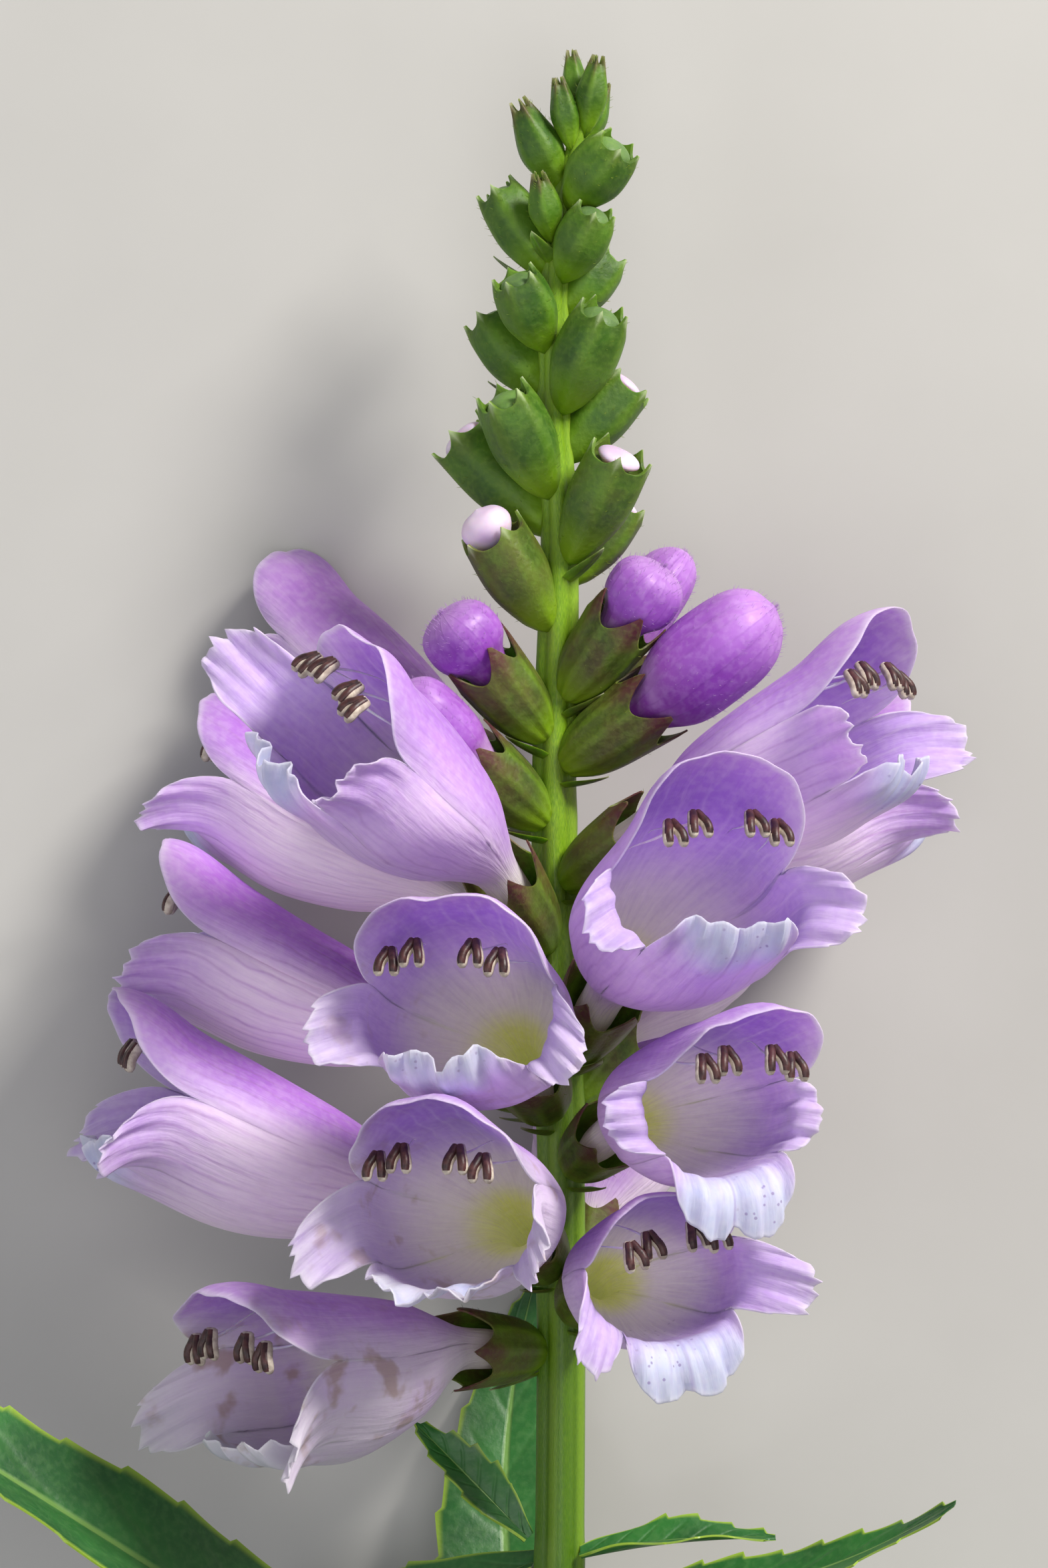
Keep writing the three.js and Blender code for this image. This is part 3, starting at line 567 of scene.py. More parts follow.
# how quickly the wave runs across half a lobe, in radians, and how deep it is in mm
FRILLS = {RIGHT: (6, 0.3), LEFT: (6, 0.3), LIP: (8, 0.46), HOOD: (5, 0.16)}
# waves once round, how they twist towards the mouth, and how deep they are in mm
FOLDS = ((2, 4, 0.18), (3, 9, 0.15), (5, -7, 0.10), (9, 5, 0.03))


def rim_reach(flower, random):
    """How far each column of the petal reaches, with the lobes' teeth and small unevenness."""
    reach = np.zeros(len(ANGLE))
    for kind, (_, _, _, power, _) in LOBES.items():
        mine = LOBE == kind
        across = ACROSS[mine]
        outline = np.sqrt(np.maximum(1 - np.abs(across) ** power, 0))
        phase = random.uniform(0, 2 * math.pi)
        if kind in (LEFT, RIGHT):
            saw = (across * 2.6 + 0.25 * np.sin(across * 6 + phase) + phase) % 1
            outline = outline * (0.91 + 0.11 * saw ** 1.4)
        elif kind == LIP:
            uneven = 0.03 * np.sin(across * 9 + phase) + 0.02 * np.sin(across * 23 + phase)
            outline = outline * (0.95 + uneven - NOTCH * np.exp(-(across / 0.12) ** 2))
        else:
            uneven = 0.012 * np.sin(across * 7 + phase) + 0.01 * np.sin(across * 19 + phase)
            outline = outline * (0.98 + uneven)
        reach[mine] = TUBE + flower.length[kind] * outline
    return reach


def frill(share, random):
    """How far each point of the petal leaves its plain surface, in the flower's own millimetres."""
    wave = np.zeros((len(share), len(ANGLE)))
    row = share[:, None]
    edge = smooth(0.7, 1.0, row) ** 1.4
    for kind, (waves, depth) in FRILLS.items():
        mine = LOBE == kind
        across = ACROSS[mine]
        first, second, third = random.uniform(0, 2 * math.pi, 3)
        across_rim = across * waves
        ripple = (np.sin(across_rim + first + 3 * row) + 0.6 * np.sin(across_rim * 2.3 + second - 4 * row)
                  + 0.35 * np.sin(across_rim * 4.1 + third) * smooth(0.9, 1.0, row))
        wave[:, mine] = depth * edge * ripple * (1 - np.abs(across) ** 6)
    turn = np.radians(ANGLE)
    soft = smooth(0.3, 0.7, row)
    for waves, twist, depth in FOLDS:
        wave += depth * soft * np.sin(turn * waves + twist * row + random.uniform(0, 2 * math.pi))
    return wave


def petal_cup(growth, flower, mood, random):
    """Adds one corolla's double wall, first the outside and then back along the inside."""
    share = 1 - (1 - np.linspace(0, 1, ROWS)) ** 1.35
    rim = rim_reach(flower, random)
    reach = share[:, None] * rim
    points = np.zeros(reach.shape + (3,))
    for kind in LOBES:
        mine = LOBE == kind
        angle = np.broadcast_to(ANGLE[mine], reach[:, mine].shape)
        across = np.broadcast_to(ACROSS[mine], angle.shape)
        points[:, mine] = flower.shape(angle, across, kind, reach[:, mine])
    points += wall_normals(points) * frill(share, random)[..., None]
    points = flower.place(points, PETAL / 2 + 0.05)
    half_wall = wall_normals(points) * (PETAL / 2 * (1 - 0.55 * smooth(0.8, 1, share))[:, None, None])
    rounded_rim = points[-1] + unit(points[-1] - points[-2]) * 0.07
    walls = np.concatenate([points + half_wall, rounded_rim[None], (points - half_wall)[::-1]])
    turn = np.radians(ANGLE)
    along = np.concatenate([reach, rim[None] + 0.1, reach[::-1]]) / FULL_REACH
    inner = np.concatenate([np.zeros(ROWS), [0.5], np.ones(ROWS)])[:, None]
    lobe_share = np.clip((along * FULL_REACH - TUBE + 3) / (rim - TUBE + 3.01), 0, 1)
    tongue = (LOBE == LIP) * (1 - np.abs(ACROSS) ** 3)
    base = [flower.stance.nodding(COROLLA_SEAT + inside, 0.0, 0.0) for inside in (-0.2, 0.1)]
    growth.loft(walls, *base, petal=facts_over(walls, np.cos(turn), np.sin(turn), along),
                wall=facts_over(walls, inner, lobe_share * tongue, lobe_share), mood=mood)


print("points in a petal cup:", (2 * ROWS + 1) * len(ANGLE))

# %% [markdown]
# ## Threads and hairs
# Stamens' threads, anthers and hairs are all thin tubes along a path. There are too many hairs on a plant to
# model, so some tapered three-sided threads stand for the down on each calyx and bud.

# %% Threads and hairs
def add_thread(growth, path, radius, material, count=8, **facts):
    """A tube along a path of points, as thick as its radius says at each."""
    ahead = unit(np.gradient(path, axis=0))
    across = unit(np.cross(ahead, np.array([0.31, 0.17, 0.93])))
    over = np.cross(across, ahead)
    turn = ring_of(count)[:, None]
    radius = np.broadcast_to(radius, len(path))[:, None, None]
    rings = path[:, None] + radius * (np.cos(turn) * across[:, None] + np.sin(turn) * over[:, None])
    rings = settle(rings, 0.05)
    growth.loft(rings, rings[0].mean(0), rings[-1].mean(0), material, **facts)


HAIR_RADII = np.array([0.022, 0.016, 0.006])


def add_hairs(growth, roots, normals, ahead, count, random, **facts):
    """Short fine hairs at points picked from a surface, leaning ahead."""
    roots, normals = roots.reshape(-1, 3), normals.reshape(-1, 3)
    for i in random.choice(len(roots), count, replace=False):
        way = unit(normals[i] + 0.5 * ahead + random.normal(0, 0.25, 3)) * random.uniform(0.16, 0.36)
        steps = np.array([0, 0.5, 1])[:, None]
        path = roots[i] + way * steps + 0.08 * ahead * steps ** 2
        add_thread(growth, path, HAIR_RADII, 0, count=3, **facts)


print("a hair is", 2 * HAIR_RADII[0], "mm thick at its root")

# %% [markdown]
# ## Stamens
# Four stamens stand under the roof of the hood and stop just inside its rim, so that a bee brushes them with
# its back. Only the last bit of each thread shows. The anther on it has two dark halves with a cream seam,
# bent like a small horseshoe.

# %% Stamens
ANTHER_REACH = 26.5
ANTHER_DEPTH = 1.7
THREAD_SHOWN = 5
ALL_FOUR, SIDE_PAIR, MIDDLE_PAIR = (40, 63, 117, 140), (55, 76), (62, 118)


def add_stamen(growth, flower, angle, thread, dark, cream):
    """One stamen: its thread under the hood, and a horseshoe of two halves."""
    reach = np.linspace(ANTHER_REACH - THREAD_SHOWN, ANTHER_REACH, 12)
    depth = ANTHER_DEPTH + 1.7 * abs(math.sin(math.radians(angle))) ** 3
    inward = 0.5 + (depth - 0.5) * smooth(reach[0], reach[-1], reach)
    path = flower.inner_point(angle, reach, inward)
    add_thread(growth, path, np.linspace(0.02, 0.13, 12), thread)
    stance, top = flower.stance, path[-1]
    t = np.linspace(0, 1, 12)
    down = 0.4 * np.cos(np.minimum(t * 4, 1) * math.pi / 2) - 1.75 * np.maximum(t - 0.1, 0) / 0.9
    ahead = 0.15 + 0.3 * np.sin(t * math.pi)
    plump = 0.42 * np.sqrt(np.clip(1 - (2 * t - 1) ** 6, 0.2, 1))
    for sign in (-1, 1):
        across = sign * (0.06 + 0.52 * np.sin(t * math.pi * 0.62))
        half = top + across[:, None] * stance.side + down[:, None] * stance.up + ahead[:, None] * stance.out
        add_thread(growth, half, plump, cream)
        inner = half + 0.22 * stance.out
        add_thread(growth, inner[1:-1], plump[1:-1] * 0.78, dark)

# %% [markdown]
# ## Petal colours
# Lilac alone looks like plastic. The back of the hood is a rich purple, the flanks are almost white, the
# lip is a cool white, and the throat turns yellowish green. The facts on the mesh say where each colour lies.
# The thin wall lets light through: subsurface scattering carries it, and a faint glow of the throat and the
# pale flanks stands for the light from behind.

# %% Petal colours
petal = Finish("petal", Subsurface_Weight=0.5, Subsurface_Scale=0.0014, Subsurface_Radius=(1.0, 0.8, 1.1),
               Specular_IOR_Level=0.3, Sheen_Weight=0.06, Sheen_Roughness=0.4, Emission_Strength=0.12)
side, top, along = petal.fact("petal")
inner, lip, edge = petal.fact("wall")
pale, stain, seed = petal.fact("mood")
outer = 1 - inner
ridge = top.rise(0.35, 1.0)
wobble, cloud, grain = petal.noise(170, 2), petal.noise(95, 3), petal.noise(1500, 2)
petal.colour = petal.mix(cloud.rise(0.3, 0.7), "#c9a2e8", "#b48edd")
petal.lay(inner * 0.6, "#bda6e6")
flank = (1 - top.rise(0.1, 0.8)) * outer * (1 - along.rise(0.55, 0.95)) * (0.25 + 0.75 * pale)
petal.lay(flank * 0.9, "#f3dcf4")
back = top.rise(0.3, 0.95) * outer * along.rise(0.22, 0.45) * (1 - along.rise(0.8, 1.0) * 0.6)
petal.lay(back * (0.25 + 0.5 * pale), "#a452cc")
petal.lay(inner * ridge * along.rise(0.55, 0.85) * 0.7, "#8f52cb")
frilled = lip.rise(0.1, 0.6) * inner + lip.rise(0.3, 0.8) * outer
petal.lay(frilled * 0.9, petal.mix(cloud, "#aab7e8", "#d2d9f6"))
petal.lay(inner * (1 - along.rise(0.42, 0.64)) * 0.85, "#d3c6e0")
petal.lay(inner * (1 - along.rise(0.22, 0.33)) * 0.9, "#cbd04a")
petal.lay((1 - along.rise(0.12, 0.3)) * outer * 0.8, "#e9e6d4")
throat_glow = petal.mix(inner * (1 - along.rise(0.25, 0.6)), "#000000", "#dde08c")
flank_glow = flank * pale * (1 - along.rise(0.6, 0.9) * 0.5)
petal.feed("Emission Color", petal.mix(flank_glow, throat_glow, "#f4d2ec"))
print("petal colours:", len(petal.tree.nodes), "nodes")

# %% [markdown]
# ## Veins, spots and stains
# Fine purple veins run to the mouth, silky wrinkles lie between them, and small purple spots guide bees in
# over the lip. A wave round the tube to a high power leaves only thin lines, and a noise bends them. The
# oldest flowers fade and get brown stains.

# %% Veins, spots and stains
turn = top.turn_from(side)
veins = ((turn * 27 + wobble * 9 + seed * 9).wave() * 0.5 + 0.5) ** 16 * cloud.rise(0.3, 0.6)
marks = along.rise(0.2, 0.4) * (1 - edge.rise(0.3, 0.9) * 0.7) * (0.5 + 0.5 * pale)
petal.lay(veins * marks * outer * 0.5, "#9a68ae")
petal.lay(veins * marks * inner * 0.25, "#f6f0f8")
lengthwise = petal.node("ShaderNodeCombineXYZ", {}, {0: side * 5 + seed * 7, 1: top * 5, 2: along * 3})
silk = petal.noise(3.0, 3.0, lengthwise)
petal.lay(silk.rise(0.35, 0.75) * 0.22, "#8a5cbe")
petal.lay(grain.rise(0.35, 0.7) * 0.12, "#f0e4f4")
cell_inputs = {"Vector": petal.place(), "Scale": 1500.0}
cells = petal.node("ShaderNodeTexVoronoi", {"feature": "F1"}, cell_inputs, "Distance")
spotted = wobble.rise(0.48, 0.56) * (lip.rise(0.3, 0.7) + inner * (1 - top.rise(-0.8, -0.3)) * 0.5)
spots = (1 - cells.rise(0.08, 0.24)) * spotted * (1 - ridge)
petal.lay(spots.held() * 0.6, "#5d3a86")
petal.lay((1 - side.size().rise(0.0, 0.035)) * lip * 0.5, "#8a72b4")
# Paler rim: partly the thin edge's own lighter tone, partly a painted highlight along the rim.
petal.lay(edge.rise(0.92, 1.0) * 0.3, "#f2eaf8")
petal.lay(stain * (1 - ridge) * cloud.rise(0.3, 0.55) * 0.75, "#d9d1da")
browning = petal.noise(330, 3).rise(0.54, 0.68) * stain * along.rise(0.25, 0.5) * (1 - ridge * 0.8)
petal.lay(browning * 0.7, "#9a8262")
petal.complete(0.4 + 0.15 * cloud + 0.15 * grain, grain * 0.3 + cloud * 0.6 + silk * 1.4, 0.09)

# %% [markdown]
# ## Small parts' finishes
# Stamens and the pale domes of the oldest green buds are too small for a pattern of their own. Two near
# colours mottled together and a trace of bump keep them from looking moulded.

# %% Small parts' finishes
def mottled(name, dark, light, scale, **constants):
    """A small part's finish: two near colours mottled together."""
    finish = Finish(name, **constants)
    mottle = finish.noise(scale, 3)
    finish.feed("Base Color", finish.mix(mottle.rise(0.3, 0.7), dark, light))
    finish.bump(mottle, 0.05)
    return finish


filament = mottled("filament", "#dccbe8", "#f2eaf6", 900, Roughness=0.5, Subsurface_Weight=0.3,
                   Subsurface_Scale=0.001)
anther_dark = mottled("anther_dark", "#2a1418", "#54302f", 1800, Roughness=0.45)
anther_seam = mottled("anther_seam", "#a8988a", "#d8ccbc", 1800, Roughness=0.6)
pale_petal = mottled("pale_petal", "#cdb4d6", "#ecdcec", 300, Roughness=0.45, Subsurface_Weight=0.4,
                     Subsurface_Scale=0.001)
print("finishes so far:", len(bpy.data.materials))

# %% [markdown]
# ## The open flowers
# The table gives each flower its place and the numbers that make it different. front and back say which
# side of the lying stem it grows on. First comes the place: height, rank, azimuth, elevation, nod and roll.
# Then the form: size, stretch, lip (0 curled up, 1 hanging), length of the hood, heading, lean and length of
# the left and the right lobe, and the angles of its stamens. Last come how pale its flanks are and how far it
# has begun to brown.

# %% The open flowers
FRONT_LEFT, FRONT_RIGHT, BACK_LEFT, BACK_RIGHT = -45, 45, -135, 135
FLOWERS = {
    "front_right_1": ((19.3, FRONT_RIGHT, 16, 24, 20, 12),
        (0.88, 0.88, 1, 5.3, (236, 85, 8), (-35, 85, 8), ALL_FOUR), 0.4, 0.1),
    "front_right_2": ((30, FRONT_RIGHT, 26, 29, 23),
        (0.93, 1.06, 1, HOOD_LENGTH, (180, 125, 5), (-10, 100, 2), ALL_FOUR), 0.5, 0.1),
    "front_right_3": ((38.6, FRONT_RIGHT, 23, 40, 17),
        (1.08, 1, 0, HOOD_LENGTH, (215, 100, 5), (-32, 72, 5.6), ALL_FOUR), 0.2, 0.1),
    "front_right_4": ((51.4, FRONT_RIGHT, 60, 31, 6),
        (1, 1, 0, HOOD_LENGTH, (200, 45, 7), (-30, 55, 7), ALL_FOUR), 0.7, 0),
    "front_left_1": ((22.5, FRONT_LEFT, -17, 28, 20),
        (1.02, 1, 0.3, HOOD_LENGTH, (236, 70, 7.6), (-65, 60, 7), ALL_FOUR), 0.3, 0.7),
    "front_left_2": ((34.2, FRONT_LEFT, -15, 33, 20),
        (1.05, 1, 0, HOOD_LENGTH, (215, 60, 6), (-50, 100, 5), ALL_FOUR), 0.3, 0.4),
    "front_left_3": ((46.6, FRONT_LEFT, -34, 46, 17, -36),
        (1.08, 0.95, 0, 5.8, (175, 70, 9), (-35, 40, 6), ALL_FOUR), 0.4, 0.1),
    "back_left_1": ((16.2, -100, -49, 6, 8),
        (1.04, 0.94, 0, 7.6, (235, 45, 7.8), (-80, 60, 8), ALL_FOUR), 0.2, 0.9),
    "back_left_2": ((23, BACK_LEFT, -80, 24),
        (1.03, 1.2, 0, HOOD_LENGTH, (246, 60, 7), (-65, 68, 7), SIDE_PAIR), 0.8, 0.1),
    "back_left_3": ((35, BACK_LEFT, -97, 26),
        (0.92, 1.2, 0, HOOD_LENGTH, (240, 60, 7), (-60, 50, 7), SIDE_PAIR), 1.0, 0),
    "back_left_4": ((46.2, BACK_LEFT, -113, 28),
        (0.88, 1.2, 0, HOOD_LENGTH, (240, 60, 9), (-60, 55, 7.6), SIDE_PAIR), 1.0, 0),
    "back_left_5": ((56.4, BACK_LEFT, -128, 32),
        (0.84, 1.2, 0, HOOD_LENGTH, (220, 60, 4), (-40, 80, 4), SIDE_PAIR), 0.6, 0),
    "back_right_1": ((21, BACK_RIGHT, 170, 36),
        (0.86, 1, 0.3, HOOD_LENGTH, (240, 50, 7), (-60, 50, 7), MIDDLE_PAIR), 0.6, 0.3),
    "back_right_2": ((35, BACK_RIGHT, 144, 40),
        (0.86, 1, 0.3, HOOD_LENGTH, (240, 50, 7), (-60, 50, 7), MIDDLE_PAIR), 0.6, 0.2),
    "back_right_3": ((48, BACK_RIGHT, 106, 25),
        (0.9, 1.06, 0, HOOD_LENGTH, (230, 45, 7), (-50, 45, 6), MIDDLE_PAIR), 0.9, 0),
}
flowers = {}
for number, (name, (place, form, pale_flanks, brown)) in enumerate(FLOWERS.items()):
    random = np.random.default_rng(100 + number)
    flowers[name] = flower = Flower(place, *form)
    growth = Growth()
    petal_cup(growth, flower, (pale_flanks, brown, number / len(FLOWERS)), random)
    for angle in flower.stamens:
        add_stamen(growth, flower, angle, 1, 2, 3)
    growth.piece("flower_" + name, "petal", "corolla_" + name, petal, filament, anther_dark, anther_seam)

# %% [markdown]
# ## The purple buds
# A bud about to open is a closed club of the same petal, deeper in colour, with hardly a vein to see. The
# folded lobes press soft creases into it from inside, one overlaps the next along a seam, and fine hairs
# catch the light.

# %% The purple buds
NECK = [[0, 0.9], [2.6, 1.5], [4.5, 1.95]]
COLLAR, COLLAR_RADIUS = 4.5, 2.1
PURPLE_BUD_HAIRS = 260
# place, size of its calyx, length, radius, lift of its tip
PURPLE_BUDS = {
    "front_left_4": ((56, FRONT_LEFT, -66, 38), 1, 12.5, 2.9, 0.4),
    "front_left_5": ((62.4, FRONT_LEFT, -68, 48), 1, 9.5, 3.1, 0),
    "front_right_5": ((60.2, FRONT_RIGHT, 78, 34), 1.05, 17, 3.9, 0.8),
    "front_right_6": ((65.4, FRONT_RIGHT, 68, 51), 1, 9.5, 3, 0),
    "back_right_4": ((63.6, BACK_RIGHT, 126, 49), 1, 14.2, 2.5, 0),
}


def bud_finish():
    finish = Finish("bud_petal", Roughness=0.4, Subsurface_Weight=0.4, Subsurface_Scale=0.0012,
                    Subsurface_Radius=(1.0, 0.7, 1.1), Specular_IOR_Level=0.4, Coat_Weight=0.05)
    side, top, along = finish.fact("petal")
    cloud, fine, wobble = finish.noise(150, 4), finish.noise(1700, 3), finish.noise(200, 2)
    veins = ((top.turn_from(side) * 19 + wobble * 5).wave() * 0.5 + 0.5) ** 10
    finish.colour = finish.mix(cloud.rise(0.3, 0.7), "#8c43ae", "#a968c8")
    finish.lay((1 - along.rise(0.34, 0.62)) * 0.7, "#862f98")
    finish.lay((1 - along.rise(0.3, 0.5)) * cloud.rise(0.45, 0.65) * 0.7, "#e3cfe6")
    # Lighter tip: a painted highlight where the light catches the end of the bud.
    finish.lay(along.rise(0.7, 1.0) * 0.35, "#d2aae2")
    finish.lay(veins * 0.14, "#7a3f9c")
    finish.lay(fine.rise(0.4, 0.7) * 0.12, "#e6d0f0")
    finish.complete(0.34 + 0.15 * cloud + 0.15 * fine, fine * 0.35 + cloud + veins * 0.2, 0.08)
    return finish


def purple_bud(name, place, length, girth, lift, random):
    stance = Stance(*place)
    head = length - COLLAR
    shoulder = COLLAR_RADIUS + (girth - COLLAR_RADIUS) * 0.78
    rest = [[0.24, shoulder], [0.5, girth], [0.8, girth * 0.88], [0.95, girth * 0.5], [1, 0.02]]
    outline = NECK + [[COLLAR + head * share, radius] for share, radius in rest]
    x = length * np.sin(np.linspace(0, math.pi / 2, 52)[:-1])[:, None]
    turn = ring_of(64)
    grown = smooth(COLLAR, length * 0.8, x)
    crease = 1 + 0.02 * np.sin(turn * 5 + length) * grown + 0.012 * np.sin(turn * 3 + x * 0.9)
    seam = np.exp(-((np.sin((turn - 1.9 - 0.05 * x) / 2)) / 0.045) ** 2)
    flap = 0.03 * smooth(-0.1, 0.1, np.sin(turn - 0.4)) * grown
    radius = curve(outline, x) * (crease + flap - 0.05 * seam * grown)
    upward = radius * np.sin(turn) * 0.94 + lift * (x / length) ** 2
    rings = settle(stance.at(COROLLA_SEAT + x, radius * np.cos(turn), upward), 0.2)
    growth = Growth()
    growth.loft(rings, stance.at(COROLLA_SEAT - 0.2, 0, 0), stance.at(COROLLA_SEAT + length, 0, lift * 0.9),
                petal=facts_over(rings, np.cos(turn), np.sin(turn), x / length))
    add_hairs(growth, rings[16:], wall_normals(rings)[16:], stance.out, PURPLE_BUD_HAIRS, random,
              petal=(0, 1, 0.9))
    growth.piece("purple_" + name, "bud", "bud_" + name, bud_petal)


bud_petal = bud_finish()
random = np.random.default_rng(5)
for name, (place, _, *form) in PURPLE_BUDS.items():
    purple_bud(name, place, *form, random)

# %% [markdown]
# ## Green finish
# Calyces, bracts and buds are one living green, brighter where they are young. The facts say how far towards
# its tip a point lies, how old the part is, and where its ribs run, so that the teeth of the old calyces turn
# maroon, the closed buds get pale tips and the ribs stand out a little lighter.

# %% Green finish
def green_finish():
    finish = Finish("green", Roughness=0.5, Subsurface_Weight=0.4, Subsurface_Scale=0.0008,
                    Subsurface_Radius=(0.6, 1.0, 0.3), Specular_IOR_Level=0.4)
    tip, age, rib = finish.fact("green")
    maroon, white, _ = finish.fact("mark")
    cloud, fine, patch = finish.noise(240, 3), finish.noise(2300, 2), finish.noise(420, 3)
    young = finish.mix(cloud.rise(0.3, 0.7), "#2c5a0a", "#4f7e16")
    old = finish.mix(cloud.rise(0.3, 0.7), "#434c10", "#5e621e")
    finish.colour = finish.mix(age, young, old)
    finish.lay(rib.rise(0.5, 1.0) * 0.2, "#82ae24")
    # Lighter yellow-green base: partly the base's own paler green, partly a painted glow of light from
    # behind.
    finish.lay((1 - tip.rise(0.0, 0.4)) * 0.7, "#86ae10")
    finish.lay(patch.rise(0.36, 0.64) * age * tip.rise(0.1, 0.6) * 0.7, "#5c3b26")
    finish.lay(tip.rise(0.64, 0.9) * maroon * 0.9, "#57202f")
    finish.lay(tip.rise(0.84, 1.0) * white * 0.6, "#dbe4bf")
    finish.lay(fine.rise(0.4, 0.7) * 0.12, "#8cae44")
    finish.complete(0.4 + 0.25 * fine, fine * 0.6 + rib * 0.8 + patch * 0.4, 0.09)
    return finish


green = green_finish()

# %% [markdown]
# ## The stem
# The stem is square with rounded corners and a shallow groove down each face, like every stem of its family.
# It thins towards the tip and swells a little where a pair of leaves or flowers leaves it. Its green is
# lighter among the buds, streaked lengthwise, and palest on the cut face.

# %% The stem
JOINTS_OF_STEM = (-19, -13, 0.5, 21, 34, 46, 56, 63)


def stem_finish():
    finish = Finish("stem", Roughness=0.42, Subsurface_Weight=0.4, Subsurface_Scale=0.0008,
                    Subsurface_Radius=(0.6, 1.0, 0.3), Specular_IOR_Level=0.45, Coat_Weight=0.1)
    across, height, cut = finish.fact("stem")
    streaks = finish.noise(5.0, 4.0, finish.node("ShaderNodeCombineXYZ", {}, {0: across * 6, 1: height * 4}))
    finish.colour = finish.mix(streaks.rise(0.3, 0.7), "#658f0a", "#8cb31c")
    # Darker green below the flowers: partly the stem's own deeper green, partly painted shade.
    finish.lay((1 - height.rise(-1.0, 6.0)) * 0.75, "#35620c")
    corner = (across * 4).wave().rise(0.3, 1.0)
    finish.lay(corner * 0.35, "#9cc038")
    finish.lay(cut, "#cfdca0")
    finish.complete(0.34 + 0.2 * streaks, streaks, 0.06)
    return finish


def add_stem(growth):
    height = np.linspace(CUT_END, STEM_TIP, 240)
    swell = sum(np.exp(-((height - joint) / 1.6) ** 2) for joint in JOINTS_OF_STEM)
    radius = curve(STEM_RADIUS, height) * (1 + 0.05 * swell)
    turn = ring_of(56)
    square = FLAT_OF_SQUARE + (1 - FLAT_OF_SQUARE) * np.abs(np.cos(2 * turn)) ** 1.4
    groove = 1 - 0.05 * np.exp(-(np.cos(2 * turn) / 0.35) ** 2)
    reach = radius[:, None] * square * groove
    x, y, z = stem_centre(height)[..., None]
    rings = np.stack([x + reach * np.cos(turn), y + 0 * reach, z + reach * np.sin(turn)], -1)
    facts = facts_over(rings, turn, height[:, None] / 10, 0.0)
    facts[0, :, 2] = 1
    growth.loft(rings, stem_centre(CUT_END), stem_centre(STEM_TIP), stem=facts)


growth = Growth()
add_stem(growth)
growth.piece("stem_bar", "stem", "stem", stem_finish())

# %% [markdown]
# ## Calyces and bracts
# Each flower stands in a green cup with five pointed teeth. It is the same formula as the solid, with more
# columns, sharper teeth, ten faint ribs and a few hairs. Below it a small pointed bract remains.

# %% Calyces and bracts
CALYX_RADIUS = [[0, 1], [1.4, 1.85], [3, 2.35], [5.5, 2.7], [8, 2.95]]
CALYX_LENGTH = 6.3
CALYX_TOOTH = 2.4
CALYX_WALL = 0.17
CALYX_HAIRS = 60
SMALLEST_CALYX = 0.95


def add_calyx(growth, stance, size, age, random):
    turn = ring_of(70)
    share = np.linspace(0, 1, 18)[:, None]
    tooth = 1 - np.abs(np.sin(turn * 2.5 + 0.12 * np.sin(turn * 3 + age * 9)))
    x = share * (CALYX_LENGTH + tooth * CALYX_TOOTH * share ** 3)
    uneven = 0.03 * np.sin(turn * 2 + 9 * age + 3 * share)
    wide = curve(CALYX_RADIUS, x) * size * (1 + 0.012 * np.cos(turn * 10) + uneven * share)
    points = stance.nodding(x * size, wide * np.cos(turn), wide * np.sin(turn))
    normals = wall_normals(points)
    thick = CALYX_WALL * (1 - 0.6 * share)[..., None]
    walls = np.concatenate([points + normals * thick, (points - normals * thick)[::-1]])
    facts = facts_over(points, share * (0.7 + 0.3 * tooth), age, np.cos(turn * 10) * 0.5 + 0.5)
    growth.loft(settle(walls, CALYX_WALL), *stance.ends(-0.8, 0.6), mark=(1, 0, 0),
                green=np.concatenate([facts, facts[::-1]]))
    add_hairs(growth, settle(points[4:], 0.3), normals[4:], stance.out, CALYX_HAIRS, random,
              green=(0.5, 0.2, 0), mark=(0, 0, 0))


def add_bract(growth, height, rank, azimuth, elevation, length, age):
    """A small hollow blade that ends in a point."""
    stance = Stance(height - 1.6, rank, (rank + azimuth) / 2, elevation - 24)
    share = np.linspace(0, 1, 18)[:, None]
    turn = ring_of(20)
    half = 1.02 * np.clip(1 - share ** 1.9, 0.003, 1) ** 0.7 * (0.72 + 0.28 * smooth(0, 0.35, share))
    across = half * np.cos(turn)
    hollow = 0.35 * across ** 2
    over = 0.13 * np.sin(turn) * (1 - 0.6 * share) + hollow - 0.35 * share * (1 - share) * 2
    rings = settle(stance.at(share * (length + 0.6) - 0.6, across, over), 0.1)
    growth.loft(rings, stance.at(-0.9, 0, 0), stance.at(length, 0, 0.2), mark=(0.7 * age, 0.5, 0),
                green=facts_over(rings, share, age, np.exp(-(across / 0.15) ** 2)))


random = np.random.default_rng(7)
growth = Growth()
for name, (place, form, *_) in FLOWERS.items():
    add_calyx(growth, flowers[name].stance, max(flowers[name].size, SMALLEST_CALYX), 0.75, random)
    add_bract(growth, *place[:4], length=4, age=0.7)
for place, size, *_ in PURPLE_BUDS.values():
    add_calyx(growth, Stance(*place), size, 0.6, random)
    add_bract(growth, *place, length=3.6, age=0.5)
growth.piece("calyces", "stem", "stem", green)

# %% [markdown]
# ## Green buds
# Above the flowers the buds are still closed green eggs, in four ranks. Five pointed teeth make a small crown
# on each. A fold of green closes the younger ones, the youngest are narrow and pointed, and on the oldest a
# pale dome of petal already pushes out between the teeth.

# %% Green buds
BUD_OUTLINE = [[0, 0.35], [0.12, 0.62], [0.45, 1], [0.8, 0.98], [1, 0.8]]
OPEN_OUTLINE = [[0, 0.35], [0.12, 0.6], [0.5, 1], [1, 1]]
TIGHT_OUTLINE = [[0, 0.35], [0.12, 0.6], [0.45, 1], [0.8, 0.7], [1, 0.42]]
NARROW = 3.45
GREEN_BUD_HAIRS = 40
